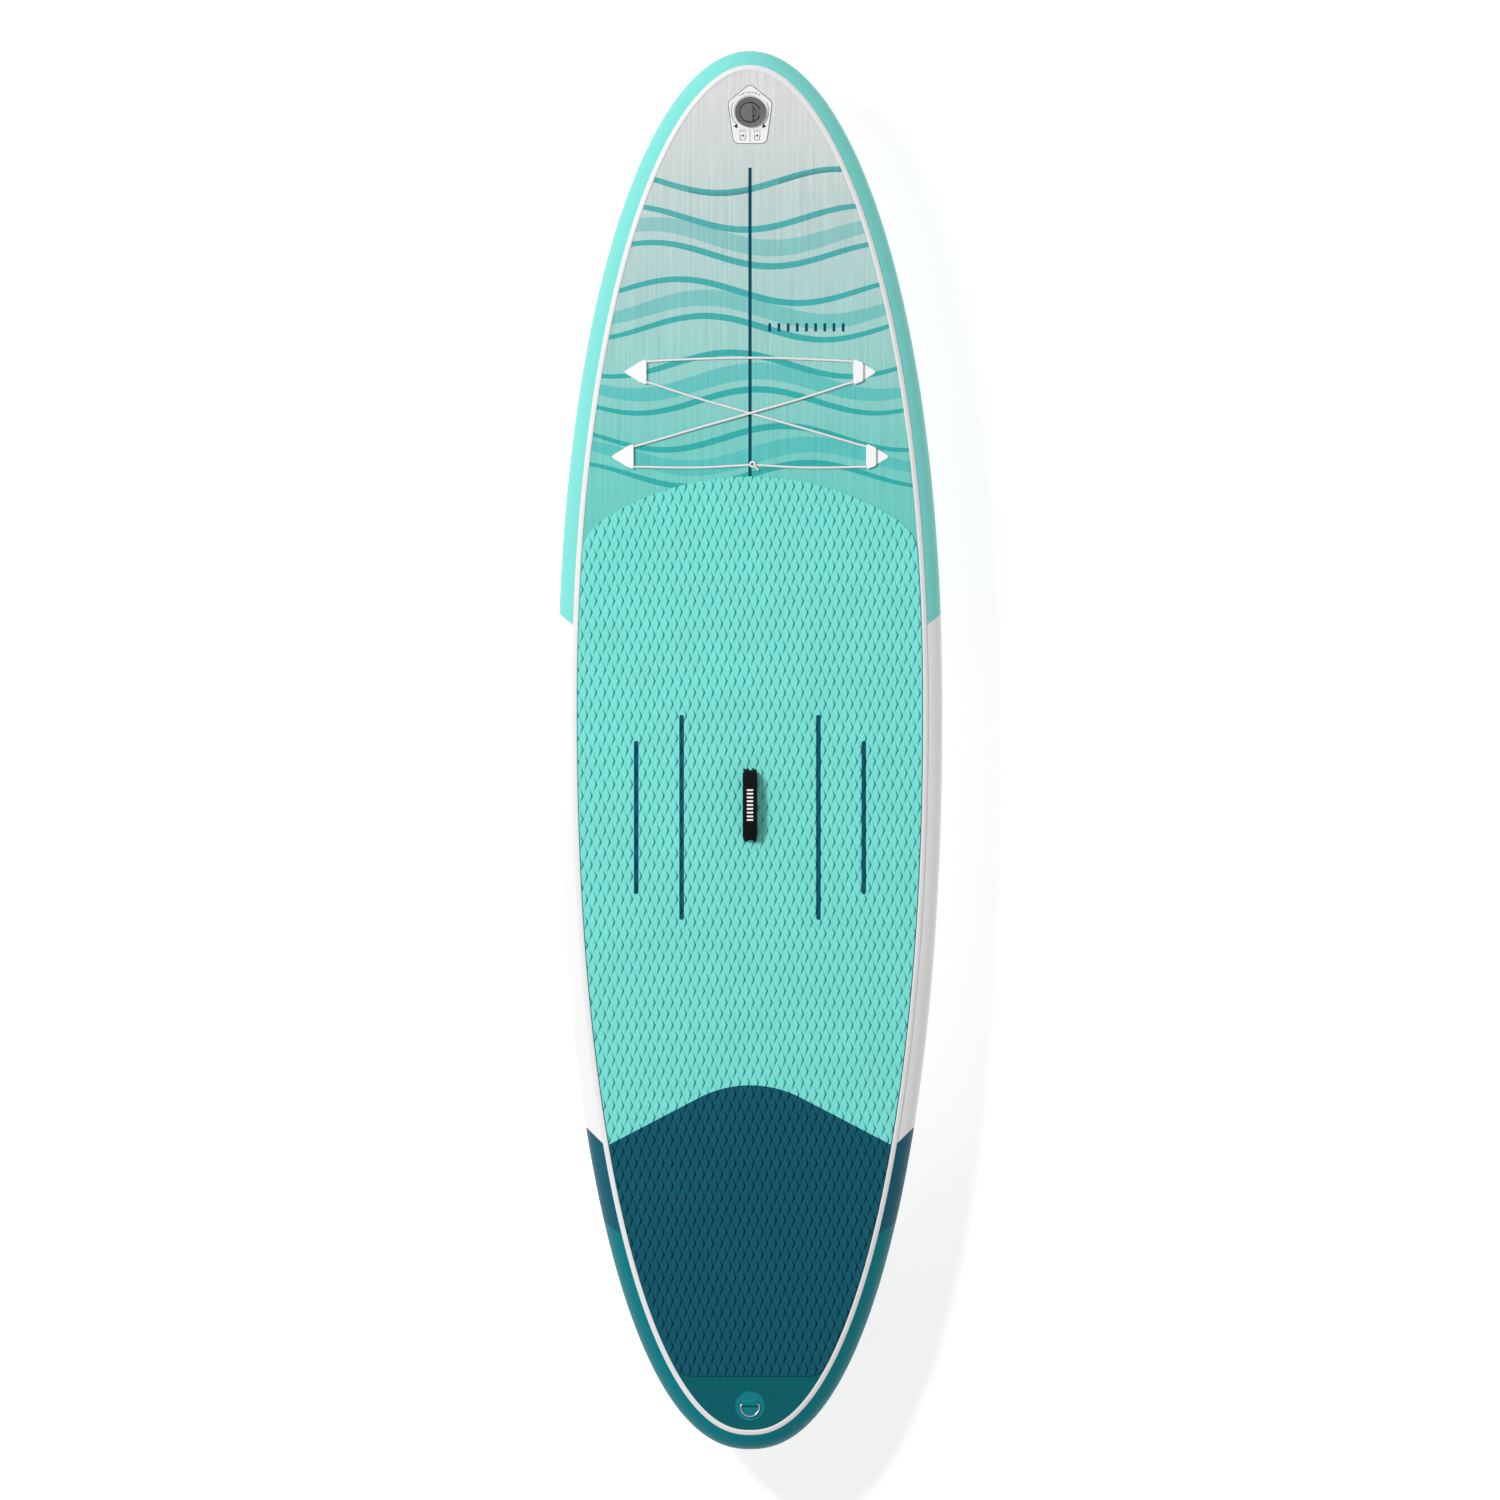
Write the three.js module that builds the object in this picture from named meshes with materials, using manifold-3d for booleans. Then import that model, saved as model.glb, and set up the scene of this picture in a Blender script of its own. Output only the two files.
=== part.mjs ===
// Inflatable stand up paddleboard, in millimetres.
// +Y points to the nose, +X to the right-hand rail and +Z up through the deck.
// The origin is on the flat of the bottom skin, halfway along the hull, on the centreline.
import * as THREE from 'three';
import { mergeVertices } from 'three/addons/utils/BufferGeometryUtils.js';
import Module from 'manifold-3d';

const wasm = await Module();
wasm.setup();

// ------------------------------------------------------------------ hull dimensions
const LENGTH = 3048;
const WIDTH = 839;
const THICKNESS = 120;
const WIDE_POINT = 86.5; // y of the widest station
const NOSE_FULLNESS = 2.11; // powers of the two half outlines
const TAIL_FULLNESS = 2.115;
const NOSE_ROUNDNESS = 0.5;
const TAIL_ROUNDNESS = 0.45;
const NOSE_ROCKER = 150; // how far the nose tip lifts
const NOSE_ROCKER_RUN = 1424; // length of the lifted stretch
const NOSE_ROCKER_POWER = 2.4;
const TAIL_KICK = 20;
const TAIL_KICK_RUN = 260;
const SKIN = 1.2; // coated drop-stitch fabric
const SEAM_INSET = 38; // rail edge to the crease where the deck starts
const GAP = 0.4; // clearance between neighbouring pieces

// Steps of the facets
const OUTLINE_STEPS = 80;
const NOSE_STEPS = 18;
const TAIL_STEPS = 4;
const RAIL_STEPS = 6;

// Seam tape, measured inwards from the rail edge
const TAPE_OUTER = SEAM_INSET - 7;
const TAPE_INNER = SEAM_INSET + 4;
const TAPE = 1;
const TAPE_GAP = 1;

// Colour bands of the rail: distance of each joint from the nose or the tail, at the rail edge,
// and how far the joint slants back towards the tail by the time it meets the tape
const NOSE_BAND = { fromNose: 1227, slant: 24.4, steps: 32 };
const MID_BAND = { fromTail: 703, slant: 36.6, steps: 10 };
const TAIL_BAND = { fromTail: 495, slant: 26.4, steps: 26 };

// Inner core of drop-stitch fabric
const CORE_SKIN = 1;
const CORE_INSET = SEAM_INSET + 6;
const YARN = 3; // side of one bundle of yarns
const YARN_PITCH_X = 170;
const YARN_PITCH_Y = 205;
const YARN_MARGIN = 70;

// ------------------------------------------------------------------ deck pads
const PAD = 5;
const PAD_INSET = TAPE_INNER + 2;
const PAD_FRONT_FROM_NOSE = 928;
const PAD_FRONT_RADIUS = 590;
const PAD_FRONT_CORNER = 40;
const PAD_SPLIT_FROM_TAIL = 793.3; // peak of the joint between the two pads
const PAD_SPLIT_RADIUS = 240;
const PAD_SPLIT_SLOPE = THREE.MathUtils.degToRad(27.5);
const PAD_REAR_FROM_TAIL = 160;
const PAD_REAR_CORNER = 26;
const PAD_JOINT = 0.6;
const INLAY_WIDTH = 9.3;
const OUTER_INLAY = { x: 248, low: -314, high: 19.4 };
const INNER_INLAY = { x: 149, low: -370, high: 76.5 };

// ------------------------------------------------------------------ carry handle
const HANDLE_Y = -120;
const HANDLE_SPAN = 144; // between the two legs of the webbing
const HANDLE_RISE = 50; // height of the arch's control points above the pad
const HANDLE_LEG = 18; // where the arch starts above the pad
const HANDLE_AXIS = 14; // height of the flop axis above the pad
const HANDLE_LAP = 3; // overlap of leg and tab above and below the axis
const WEBBING = { width: 28, thickness: 2 };
const SLEEVE = { width: WEBBING.width + 4, thickness: WEBBING.thickness + 10, trim: 0.1 };
const HANDLE_PATCH = { width: 64, length: 58, thickness: 1 };
const TAB_FOOT = 34;
const TAB_FOOT_THICKNESS = 1.4;

// ------------------------------------------------------------------ bungee
const BUNGEE_DIAMETER = 5;
const BUNGEE_STEPS = 76;
const UPPER_ANCHOR = { fromNose: 700, fromRail: 139.6 };
const LOWER_ANCHOR = { fromNose: 884.5, fromRail: 137.55 };
const ANCHOR = { reach: 46, halfHeight: 30, corner: 9, thickness: 1 };
const TURN = { reach: 16, halfHeight: 22 }; // half ellipse that the bungee follows in a keeper
const CHANNEL_RADIUS = BUNGEE_DIAMETER / 2 + 0.9;
const CHANNEL_HEIGHT = 2 * GAP + ANCHOR.thickness + CHANNEL_RADIUS + 0.5; // above the deck
const KEEPER = { reach: 21.5, mouth: 27.5, back: 20, corner: 4, roof: 1.2 };
// Bungee route: x, y and height above the deck, from one side of the knot to the other
const BUNGEE_ROUTE = [
  [-2.6, 621, 5], [-120, 615.5, 4], [-236, 617, 5.2],
  [-253, 617.5, 5.7], [-264.3, 623.9, 5.7], [-269, 639.5, 5.7], [-264.3, 655.1, 5.7],
  [-253, 661.5, 5.7], [-237, 665.8, 5.5], [-120, 700, 6], [0, 734, 9], [120, 768.5, 6],
  [209, 797.2, 5.5], [225, 802, 5.7], [236.3, 808.4, 5.7], [241, 824, 5.7],
  [236.3, 839.6, 5.7], [225, 846, 5.7], [208, 847.8, 5.2], [0, 855, 4],
  [-208, 847.8, 5.2], [-225, 846, 5.7], [-236.3, 839.6, 5.7], [-241, 824, 5.7],
  [-236.3, 808.4, 5.7], [-225, 802, 5.7], [-209, 797.2, 5.5], [-120, 768.5, 4], [0, 734, 3],
  [120, 700, 4], [237, 665.8, 5.5], [253, 661.5, 5.7], [264.3, 655.1, 5.7], [269, 639.5, 5.7],
  [264.3, 623.9, 5.7], [253, 617.5, 5.7], [236, 617, 5.2], [120, 615.5, 4], [13.4, 621, 5],
];
const KNOT = { x: 5.4, y: 622.5, height: 6, ring: 5.2, wrap: 2.8, tail: 15 };

// ------------------------------------------------------------------ inflation valve
const VALVE_FROM_NOSE = 132;
const VALVE_BORE = 16;
const VALVE_BARREL = VALVE_BORE + 3.6;
const VALVE_FLANGE = VALVE_BARREL + 10.4;
const VALVE_FLANGE_TOP = 5.8;
const VALVE_DEPTH = 32;
const VALVE_HOLE = VALVE_BARREL + 2 * GAP;
const SPIDER_TOP = -15;
const SPIDER = 3;
const STEM_RADIUS = 2;
const STEM_BUTTON = 6.5;
const STEM_CLEARANCE = 0.45;
const STEM_FOOT = 3.6;
const DIAPHRAGM = VALVE_BORE + 2.5;
const SPRING_RADIUS = STEM_RADIUS + 1.3;
const SPRING_WIRE = 0.6;
const SPRING_TURNS = 4;
const CAP_WALL = 2;
const CAP_RADIUS = VALVE_FLANGE + 1 + CAP_WALL;
const CAP_TOP = 10.2;
const CAP_RIM = 12.4;
const CAP_BOSS = CAP_RADIUS - 12;
const CAP_GRIP = { length: 40, thickness: 3.4, top: 14.2 };
const SURROUND_HOLE = CAP_RADIUS + 1.6;
const SURROUND = 0.8;
const SURROUND_OUTLINE = [
  [0, 58.6], [-49.6, 21], [-47, 0], [-38, -64], [-29, -71.6],
  [29, -71.6], [38, -64], [47, 0], [49.6, 21],
];

// ------------------------------------------------------------------ leash point
const LEASH_FROM_TAIL = 94;
const LEASH_PATCH = { radius: 32.5, thickness: 1.2 };
const RING = { wire: 4, halfBar: 20, shoulder: 6, corner: 3, y: 3, height: 5.4, droop: 3 };
const STRAP = { width: 34, wall: 1.1, tongue: 13 };

// ------------------------------------------------------------------ fins
const FIN_FROM_TAIL = 330;
const FIN_PATCH = { width: 100, length: 300, thickness: 1.2 };
const FIN_BASE = { width: 62, length: 270, thickness: 3 };
const FIN_SLOT = { width: 9.8, length: 225, ceiling: 5.5 };
const FIN_BOSS = { width: FIN_SLOT.width + 16.2, length: FIN_SLOT.length + 20, depth: 24 };
const FIN_GROOVE = { width: FIN_SLOT.width + 4, top: 12.4, depth: 3.8 };
const FIN_CLEARANCE = 0.4;
const FIN = { depth: 195, chord: 168, thickness: 8.4, front: 58, sweep: 138 };
const FIN_TAB = { front: 62, rear: -80, top: 7 };
const FIN_LUG = { length: 18, thickness: 3, face: 20 };
const FIN_SCREW = { head: 3.9, shank: 1.9, clearance: 0.4 };
const SIDE_FIN = { depth: 88, chord: 104, thickness: 6, front: 50, sweep: 78 };
const SIDE_FIN_FROM_TAIL = 430;
const SIDE_FIN_X = 172;
const SIDE_BASE = { width: 54, length: 140, thickness: 2.4 };

// ------------------------------------------------------------------ finishes
const MINT = 0x86e2d9;
const WHITE = 0xefefef;
const PETROL = 0x1a6074;
const TEAL = 0x0e8791;
const INLAY_BLUE = 0x0f4f62;
const GREY = 0x757575;
const BLACK = 0x101214;
const STEEL = 0xc8ccd0;
const NAVY = 0x04465a;

// ------------------------------------------------------------------ solids
const WELD = 1e-4;

function toSolid(geometry) {
  const bare = new THREE.BufferGeometry();
  bare.setAttribute('position', geometry.getAttribute('position').clone());
  if (geometry.index) bare.setIndex(geometry.index.clone());
  const merged = mergeVertices(bare, WELD);
  const corners = merged.index.array;
  const kept = [];
  for (let i = 0; i < corners.length; i += 3) {
    const [a, b, c] = [corners[i], corners[i + 1], corners[i + 2]];
    if (a !== b && b !== c && c !== a) kept.push(a, b, c);
  }
  merged.setIndex(kept);
  const facing = outward(merged);
  return new wasm.Manifold(new wasm.Mesh({
    numProp: 3,
    vertProperties: new Float32Array(facing.getAttribute('position').array),
    triVerts: new Uint32Array(facing.index.array),
  }));
}

function toGeometry(solid) {
  const mesh = solid.getMesh();
  const geometry = new THREE.BufferGeometry();
  geometry.setAttribute('position', new THREE.BufferAttribute(mesh.vertProperties, 3));
  geometry.setIndex(new THREE.BufferAttribute(mesh.triVerts, 1));
  return geometry;
}

/** Turns every face over when the closed geometry is inside out. */
function outward(geometry) {
  const position = geometry.getAttribute('position');
  if (!geometry.index) geometry.setIndex([...Array(position.count).keys()]);
  const index = geometry.index.array;
  const [a, b, c] = [new THREE.Vector3(), new THREE.Vector3(), new THREE.Vector3()];
  let volume = 0;
  for (let i = 0; i < index.length; i += 3) {
    a.fromBufferAttribute(position, index[i]);
    b.fromBufferAttribute(position, index[i + 1]);
    c.fromBufferAttribute(position, index[i + 2]);
    volume += a.dot(b.cross(c));
  }
  if (volume > 0) return geometry;
  const turned = [...index];
  for (let i = 0; i < turned.length; i += 3) {
    [turned[i + 1], turned[i + 2]] = [turned[i + 2], turned[i + 1]];
  }
  geometry.setIndex(turned);
  return geometry;
}

function join(first, ...others) {
  return toGeometry(others.reduce((sum, next) => sum.add(toSolid(next)), toSolid(first)));
}

function cut(body, ...tools) {
  return toGeometry(tools.reduce((rest, next) => rest.subtract(toSolid(next)), toSolid(body)));
}

function common(first, second) {
  return toGeometry(toSolid(first).intersect(toSolid(second)));
}

/** Plan shape extruded upwards from low to high. */
function slab(shape, low, high) {
  const geometry = new THREE.ExtrudeGeometry(shape, {
    depth: high - low, bevelEnabled: false, curveSegments: 3,
  });
  return geometry.translate(0, 0, low);
}

/** Shape drawn in y and z, extruded across the board about the centreline. */
function acrossBoard(shape, width) {
  const geometry = new THREE.ExtrudeGeometry(shape, {
    depth: width, bevelEnabled: false, curveSegments: 6,
  });
  const turn = new THREE.Matrix4().makeBasis(
    new THREE.Vector3(0, 1, 0), new THREE.Vector3(0, 0, 1), new THREE.Vector3(1, 0, 0),
  );
  return geometry.applyMatrix4(turn).translate(-width / 2, 0, 0);
}

/** Closed profile of radius and height pairs turned about Z. */
function turned(profile, segments = 20) {
  const points = [...profile, profile[0]].map(([r, z]) => new THREE.Vector2(r, z));
  return new THREE.LatheGeometry(points, segments).rotateX(Math.PI / 2);
}

function ring(inner, outer, low, high, segments = 20) {
  return turned([[inner, low], [outer, low], [outer, high], [inner, high]], segments);
}

function rod(radius, low, high, segments = 12) {
  const geometry = new THREE.CylinderGeometry(radius, radius, high - low, segments);
  return geometry.rotateX(Math.PI / 2).translate(0, 0, (low + high) / 2);
}

function block(width, length, low, high, x = 0, y = 0) {
  const geometry = new THREE.BoxGeometry(width, length, high - low);
  return geometry.translate(x, y, (low + high) / 2);
}

/** Skins a list of cross-sections, each a ring of points that runs out along one face of the
 *  piece and back along the other, so that a strip closes each end. */
function loft(sections, isLoop = false) {
  const size = sections[0].length;
  const rows = sections.length;
  const index = [];
  const quad = (a, b, c, d) => index.push(a, b, c, a, c, d);
  for (let row = 0; row < (isLoop ? rows : rows - 1); row += 1) {
    const here = row * size;
    const next = ((row + 1) % rows) * size;
    for (let k = 0; k < size; k += 1) {
      const after = (k + 1) % size;
      quad(here + k, next + k, next + after, here + after);
    }
  }
  if (!isLoop) {
    const last = (rows - 1) * size;
    for (let k = 0; k < size / 2 - 1; k += 1) {
      const back = size - 1 - k;
      quad(k, k + 1, back - 1, back);
      quad(last + k, last + back, last + back - 1, last + k + 1);
    }
  }
  const geometry = new THREE.BufferGeometry();
  geometry.setAttribute('position', new THREE.Float32BufferAttribute(sections.flat(2), 3));
  geometry.setIndex(index);
  return geometry;
}

/** Polygon whose corners are rounded off, each cut back by the same length. */
function roundedShape(corners, cutBack) {
  const points = corners.map(([x, y]) => new THREE.Vector2(x, y));
  const shape = new THREE.Shape();
  points.forEach((corner, i) => {
    const before = points[(i + points.length - 1) % points.length];
    const after = points[(i + 1) % points.length];
    const start = corner.clone().add(before.clone().sub(corner).setLength(cutBack));
    const end = corner.clone().add(after.clone().sub(corner).setLength(cutBack));
    if (i === 0) shape.moveTo(start.x, start.y);
    else shape.lineTo(start.x, start.y);
    shape.quadraticCurveTo(corner.x, corner.y, end.x, end.y);
  });
  shape.closePath();
  return shape;
}

function rectangle(width, length, corner, x = 0, y = 0) {
  const [w, l] = [width / 2, length / 2];
  const corners = [[x - w, y - l], [x + w, y - l], [x + w, y + l], [x - w, y + l]];
  return roundedShape(corners, corner);
}

function circle(radius, x = 0, y = 0, steps = 20) {
  const points = [];
  for (let i = 0; i < steps; i += 1) {
    const angle = (i / steps) * 2 * Math.PI;
    points.push(new THREE.Vector2(x + radius * Math.cos(angle), y + radius * Math.sin(angle)));
  }
  return new THREE.Shape(points);
}

/** Straight strip with round ends that runs along the board. */
function capsule({ x, low, high }, width) {
  const radius = width / 2;
  const shape = new THREE.Shape();
  shape.moveTo(x + radius, low + radius);
  shape.lineTo(x + radius, high - radius);
  shape.absarc(x, high - radius, radius, 0, Math.PI, false);
  shape.lineTo(x - radius, low + radius);
  shape.absarc(x, low + radius, radius, Math.PI, 2 * Math.PI, false);
  return shape;
}

// ------------------------------------------------------------------ hull form
const NOSE_Y = LENGTH / 2;
const TAIL_Y = -LENGTH / 2;
const HALF_HEIGHT = THICKNESS / 2;
const RAIL_RADIUS = (HALF_HEIGHT ** 2 + SEAM_INSET ** 2) / (2 * SEAM_INSET);

/** Rail edge in plan. s runs from -1 at the tail up the right side to 1 at the nose, and on
 *  down the left side to 3. */
function edge(s) {
  let station = s;
  if (s > 1) station = 2 - s;
  if (s < -1) station = -2 - s;
  const side = station === s ? 1 : -1;
  const angle = Math.abs(station) * (Math.PI / 2);
  const forward = station >= 0;
  const fullness = forward ? NOSE_FULLNESS : TAIL_FULLNESS;
  const roundness = forward ? NOSE_ROUNDNESS : TAIL_ROUNDNESS;
  const run = forward ? NOSE_Y - WIDE_POINT : TAIL_Y - WIDE_POINT;
  const across = Math.max(Math.cos(angle), 0) ** (2 * roundness);
  const along = Math.sin(angle) ** (2 / fullness);
  return new THREE.Vector2(side * (WIDTH / 2) * across, WIDE_POINT + run * along);
}

function edgeNormal(s) {
  const step = 1e-4;
  const along = edge(s + step).sub(edge(s - step)).normalize();
  return new THREE.Vector2(along.y, -along.x);
}

/** Point at a distance inside the rail edge, in plan. */
function insetPoint(s, inset) {
  return edge(s).addScaledVector(edgeNormal(s), -inset);
}

/** Station on the right side at which the inset outline passes through y. */
function stationAt(y, inset) {
  let [low, high] = [-1, 1];
  for (let i = 0; i < 40; i += 1) {
    const middle = (low + high) / 2;
    if (insetPoint(middle, inset).y < y) low = middle;
    else high = middle;
  }
  return low;
}

function contour(inset, steps = OUTLINE_STEPS) {
  return Array.from({ length: steps }, (_, i) => insetPoint(-1 + (4 * i) / steps, inset));
}

function rocker(y) {
  const ahead = Math.max(0, y - (NOSE_Y - NOSE_ROCKER_RUN)) / NOSE_ROCKER_RUN;
  const behind = Math.max(0, TAIL_Y + TAIL_KICK_RUN - y) / TAIL_KICK_RUN;
  return NOSE_ROCKER * ahead ** NOSE_ROCKER_POWER + TAIL_KICK * behind ** 2;
}

function rockerStations() {
  const stations = [];
  for (let i = 0; i <= TAIL_STEPS; i += 1) {
    stations.push(TAIL_Y + (TAIL_KICK_RUN * i) / TAIL_STEPS);
  }
  for (let i = 0; i <= NOSE_STEPS; i += 1) {
    stations.push(NOSE_Y - NOSE_ROCKER_RUN * (1 - i / NOSE_STEPS));
  }
  return stations;
}
const STATIONS = rockerStations();

/** Facet of the rocker curve that holds y: its height and slope there. */
function rockerFacet(y) {
  let i = STATIONS.findIndex((station) => station >= y);
  i = Math.min(Math.max(i, 1), STATIONS.length - 1);
  const [start, end] = [STATIONS[i - 1], STATIONS[i]];
  const slope = (rocker(end) - rocker(start)) / (end - start);
  return { lift: rocker(start) + slope * (y - start), slope };
}

function lift(y) {
  return rockerFacet(y).lift;
}

/** Sheet with a plan outline that follows the rocker between two heights. */
function layer(shape, low, high) {
  const profile = new THREE.Shape([
    ...STATIONS.map((y) => new THREE.Vector2(y, lift(y) + low)),
    ...[...STATIONS].reverse().map((y) => new THREE.Vector2(y, lift(y) + high)),
  ]);
  const tall = NOSE_ROCKER + TAIL_KICK + 2 * THICKNESS;
  return common(acrossBoard(profile, 2 * WIDTH), slab(shape, -tall, tall));
}

/** Point on the bulging side wall: angle 0 is the rail edge, depth goes into the wall. */
function railPoint(s, angle, depth) {
  const radius = RAIL_RADIUS - depth;
  const plan = insetPoint(s, RAIL_RADIUS - radius * Math.cos(angle));
  return [plan.x, plan.y, HALF_HEIGHT + radius * Math.sin(angle) + lift(plan.y)];
}

function railAngles() {
  const seam = Math.asin(HALF_HEIGHT / RAIL_RADIUS);
  const tape = Math.acos(1 - TAPE_OUTER / RAIL_RADIUS);
  const angles = [-seam];
  for (let i = 0; i <= RAIL_STEPS; i += 1) angles.push(tape * ((2 * i) / RAIL_STEPS - 1));
  return [...angles, seam];
}

/** Station of a band joint at one height of the side wall. */
function bandStation(y, slant, angle, clearance) {
  const inset = RAIL_RADIUS * (1 - Math.cos(angle));
  return stationAt(y - (slant * inset) / TAPE_OUTER + clearance, inset);
}

/** Stretch of side wall between two station rules, each taking a wall angle. */
function railBand(startOf, endOf, steps) {
  const angles = railAngles();
  const sections = [];
  for (let i = 0; i <= steps; i += 1) {
    const along = (angle) => THREE.MathUtils.lerp(startOf(angle), endOf(angle), i / steps);
    const outer = angles.map((angle) => railPoint(along(angle), angle, 0));
    const inner = angles.map((angle) => railPoint(along(angle), angle, SKIN));
    sections.push([...outer, ...inner.reverse()]);
  }
  return loft(sections);
}

// ------------------------------------------------------------------ scene graph
const board = new THREE.Group();

function add(name, geometry, color, roughness = 0.5, parent = board, metalness = 0) {
  const material = new THREE.MeshStandardMaterial({ color, roughness, metalness });
  const mesh = new THREE.Mesh(outward(geometry), material);
  mesh.name = name;
  parent.add(mesh);
  return mesh;
}

/** Group that stands on the deck or under the hull, turned to the local slope. */
function fittingGroup(y, height) {
  const facet = rockerFacet(y);
  const group = new THREE.Group();
  group.position.set(0, y, height + facet.lift);
  group.rotation.x = Math.atan(facet.slope);
  board.add(group);
  return group;
}

const DECK = THICKNESS;
const VALVE_Y = NOSE_Y - VALVE_FROM_NOSE;

function skins() {
  const outline = SEAM_INSET + SKIN + 2 * GAP;
  const deck = new THREE.Shape(contour(outline));
  deck.holes.push(circle(VALVE_HOLE, 0, VALVE_Y));
  add('deck_skin', layer(deck, DECK - SKIN, DECK), 0x9fcfca, 0.45);
  add('bottom_skin', layer(new THREE.Shape(contour(outline)), 0, SKIN), WHITE, 0.45);
}

function railBands() {
  const half = GAP / 2;
  const joint = ({ fromNose, fromTail, slant }) => {
    const y = fromNose ? NOSE_Y - fromNose : TAIL_Y + fromTail;
    return {
      ahead: (angle) => bandStation(y, slant, angle, half),
      behind: (angle) => bandStation(y, slant, angle, -half),
    };
  };
  const nose = joint(NOSE_BAND);
  const mid = joint(MID_BAND);
  const tail = joint(TAIL_BAND);
  const left = (rule) => (angle) => 2 - rule(angle);
  add('rail_band_nose', railBand(nose.ahead, left(nose.ahead), NOSE_BAND.steps), MINT);
  add('rail_band_mid_right', railBand(mid.ahead, nose.behind, MID_BAND.steps), WHITE);
  const midLeft = railBand(left(nose.behind), left(mid.ahead), MID_BAND.steps);
  add('rail_band_mid_left', midLeft, WHITE);
  add('rail_band_aft_right', railBand(tail.ahead, mid.behind, 3), PETROL);
  add('rail_band_aft_left', railBand(left(mid.behind), left(tail.ahead), 3), PETROL);
  const aroundTail = (angle) => -2 - tail.behind(angle);
  add('rail_band_tail', railBand(aroundTail, tail.behind, TAIL_BAND.steps), TEAL);
}

/** Tape over the crease between side wall and deck, or its mirror under the hull. */
function seamTape(isDeck) {
  const seat = (inset) => {
    if (inset >= SEAM_INSET) return THICKNESS;
    return HALF_HEIGHT + Math.sqrt(RAIL_RADIUS ** 2 - (RAIL_RADIUS - inset) ** 2);
  };
  const insets = [TAPE_OUTER, SEAM_INSET, TAPE_INNER];
  const face = (s, rise) => insets.map((inset) => {
    const plan = insetPoint(s, inset);
    const height = seat(inset) + rise;
    return [plan.x, plan.y, lift(plan.y) + (isDeck ? height : THICKNESS - height)];
  });
  const sections = [];
  for (let i = 0; i < OUTLINE_STEPS; i += 1) {
    const s = -1 + (4 * i) / OUTLINE_STEPS;
    sections.push([...face(s, TAPE_GAP), ...face(s, TAPE_GAP + TAPE).reverse()]);
  }
  return loft(sections, true);
}

/** Two woven faces held apart by bundles of yarn. */
function dropStitchCore() {
  const faces = contour(CORE_INSET, OUTLINE_STEPS / 2);
  const top = new THREE.Shape(faces);
  top.holes.push(circle(VALVE_HOLE, 0, VALVE_Y, 16));
  const topLow = DECK - SKIN - GAP - CORE_SKIN;
  const bottomHigh = SKIN + GAP + CORE_SKIN;
  const yarns = [];
  for (let y = TAIL_Y + 120; y < NOSE_Y - YARN_MARGIN; y += YARN_PITCH_Y) {
    const room = insetPoint(stationAt(y, CORE_INSET), CORE_INSET).x - YARN_MARGIN;
    const count = Math.floor(room / YARN_PITCH_X);
    for (let i = -count; i <= count; i += 1) {
      const isClear = Math.hypot(i * YARN_PITCH_X, y - VALVE_Y) > CAP_RADIUS + YARN_MARGIN;
      const low = lift(y) + bottomHigh - CORE_SKIN / 2;
      const high = lift(y) + topLow + CORE_SKIN / 2;
      if (isClear) yarns.push(block(YARN, YARN, low, high, i * YARN_PITCH_X, y));
    }
  }
  const bottom = layer(new THREE.Shape(faces), bottomHigh - CORE_SKIN, bottomHigh);
  return join(layer(top, topLow, topLow + CORE_SKIN), bottom, ...yarns);
}

// ------------------------------------------------------------------ pads
/** Where the inset outline meets a curve given as y over x. */
function meetSide(curve, start) {
  let y = start;
  for (let i = 0; i < 40; i += 1) y = curve(insetPoint(stationAt(y, PAD_INSET), PAD_INSET).x);
  return y;
}

function padFront(x) {
  return NOSE_Y - PAD_FRONT_FROM_NOSE - PAD_FRONT_RADIUS + Math.sqrt(PAD_FRONT_RADIUS ** 2 - x * x);
}

function padSplit(x) {
  const arcEnd = PAD_SPLIT_RADIUS * Math.sin(PAD_SPLIT_SLOPE);
  const onArc = Math.min(Math.abs(x), arcEnd);
  const drop = PAD_SPLIT_RADIUS - Math.sqrt(PAD_SPLIT_RADIUS ** 2 - onArc ** 2);
  const straight = (Math.abs(x) - onArc) * Math.tan(PAD_SPLIT_SLOPE);
  return TAIL_Y + PAD_SPLIT_FROM_TAIL - drop - straight;
}

function padSide(lowY, highY, steps) {
  const [start, end] = [stationAt(lowY, PAD_INSET), stationAt(highY, PAD_INSET)];
  const points = [];
  for (let i = 0; i <= steps; i += 1) {
    points.push(insetPoint(THREE.MathUtils.lerp(start, end, i / steps), PAD_INSET));
  }
  return points;
}

function curveAcross(curve, reach, steps, shift = 0) {
  const points = [];
  for (let i = 0; i <= steps; i += 1) {
    const x = reach * (1 - (2 * i) / steps);
    points.push(new THREE.Vector2(x, curve(x) + shift));
  }
  return points;
}

function mirrored(points) {
  return [...points].reverse().map((point) => new THREE.Vector2(-point.x, point.y));
}

function softCorner(start, corner, end) {
  return new THREE.QuadraticBezierCurve(start, corner, end).getPoints(5).slice(1, -1);
}

function mainPadShape() {
  const frontY = meetSide(padFront, 0);
  const corner = insetPoint(stationAt(frontY, PAD_INSET), PAD_INSET);
  const side = padSide(meetSide(padSplit, TAIL_Y + PAD_SPLIT_FROM_TAIL), frontY - PAD_FRONT_CORNER, 16);
  const front = curveAcross(padFront, corner.x - PAD_FRONT_CORNER, 18);
  const turn = softCorner(side.at(-1), corner, front[0]);
  const rear = curveAcross(padSplit, side[0].x, 22).reverse().slice(1, -1);
  return new THREE.Shape([...side, ...turn, ...front, ...mirrored([...side, ...turn]), ...rear]);
}

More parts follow.
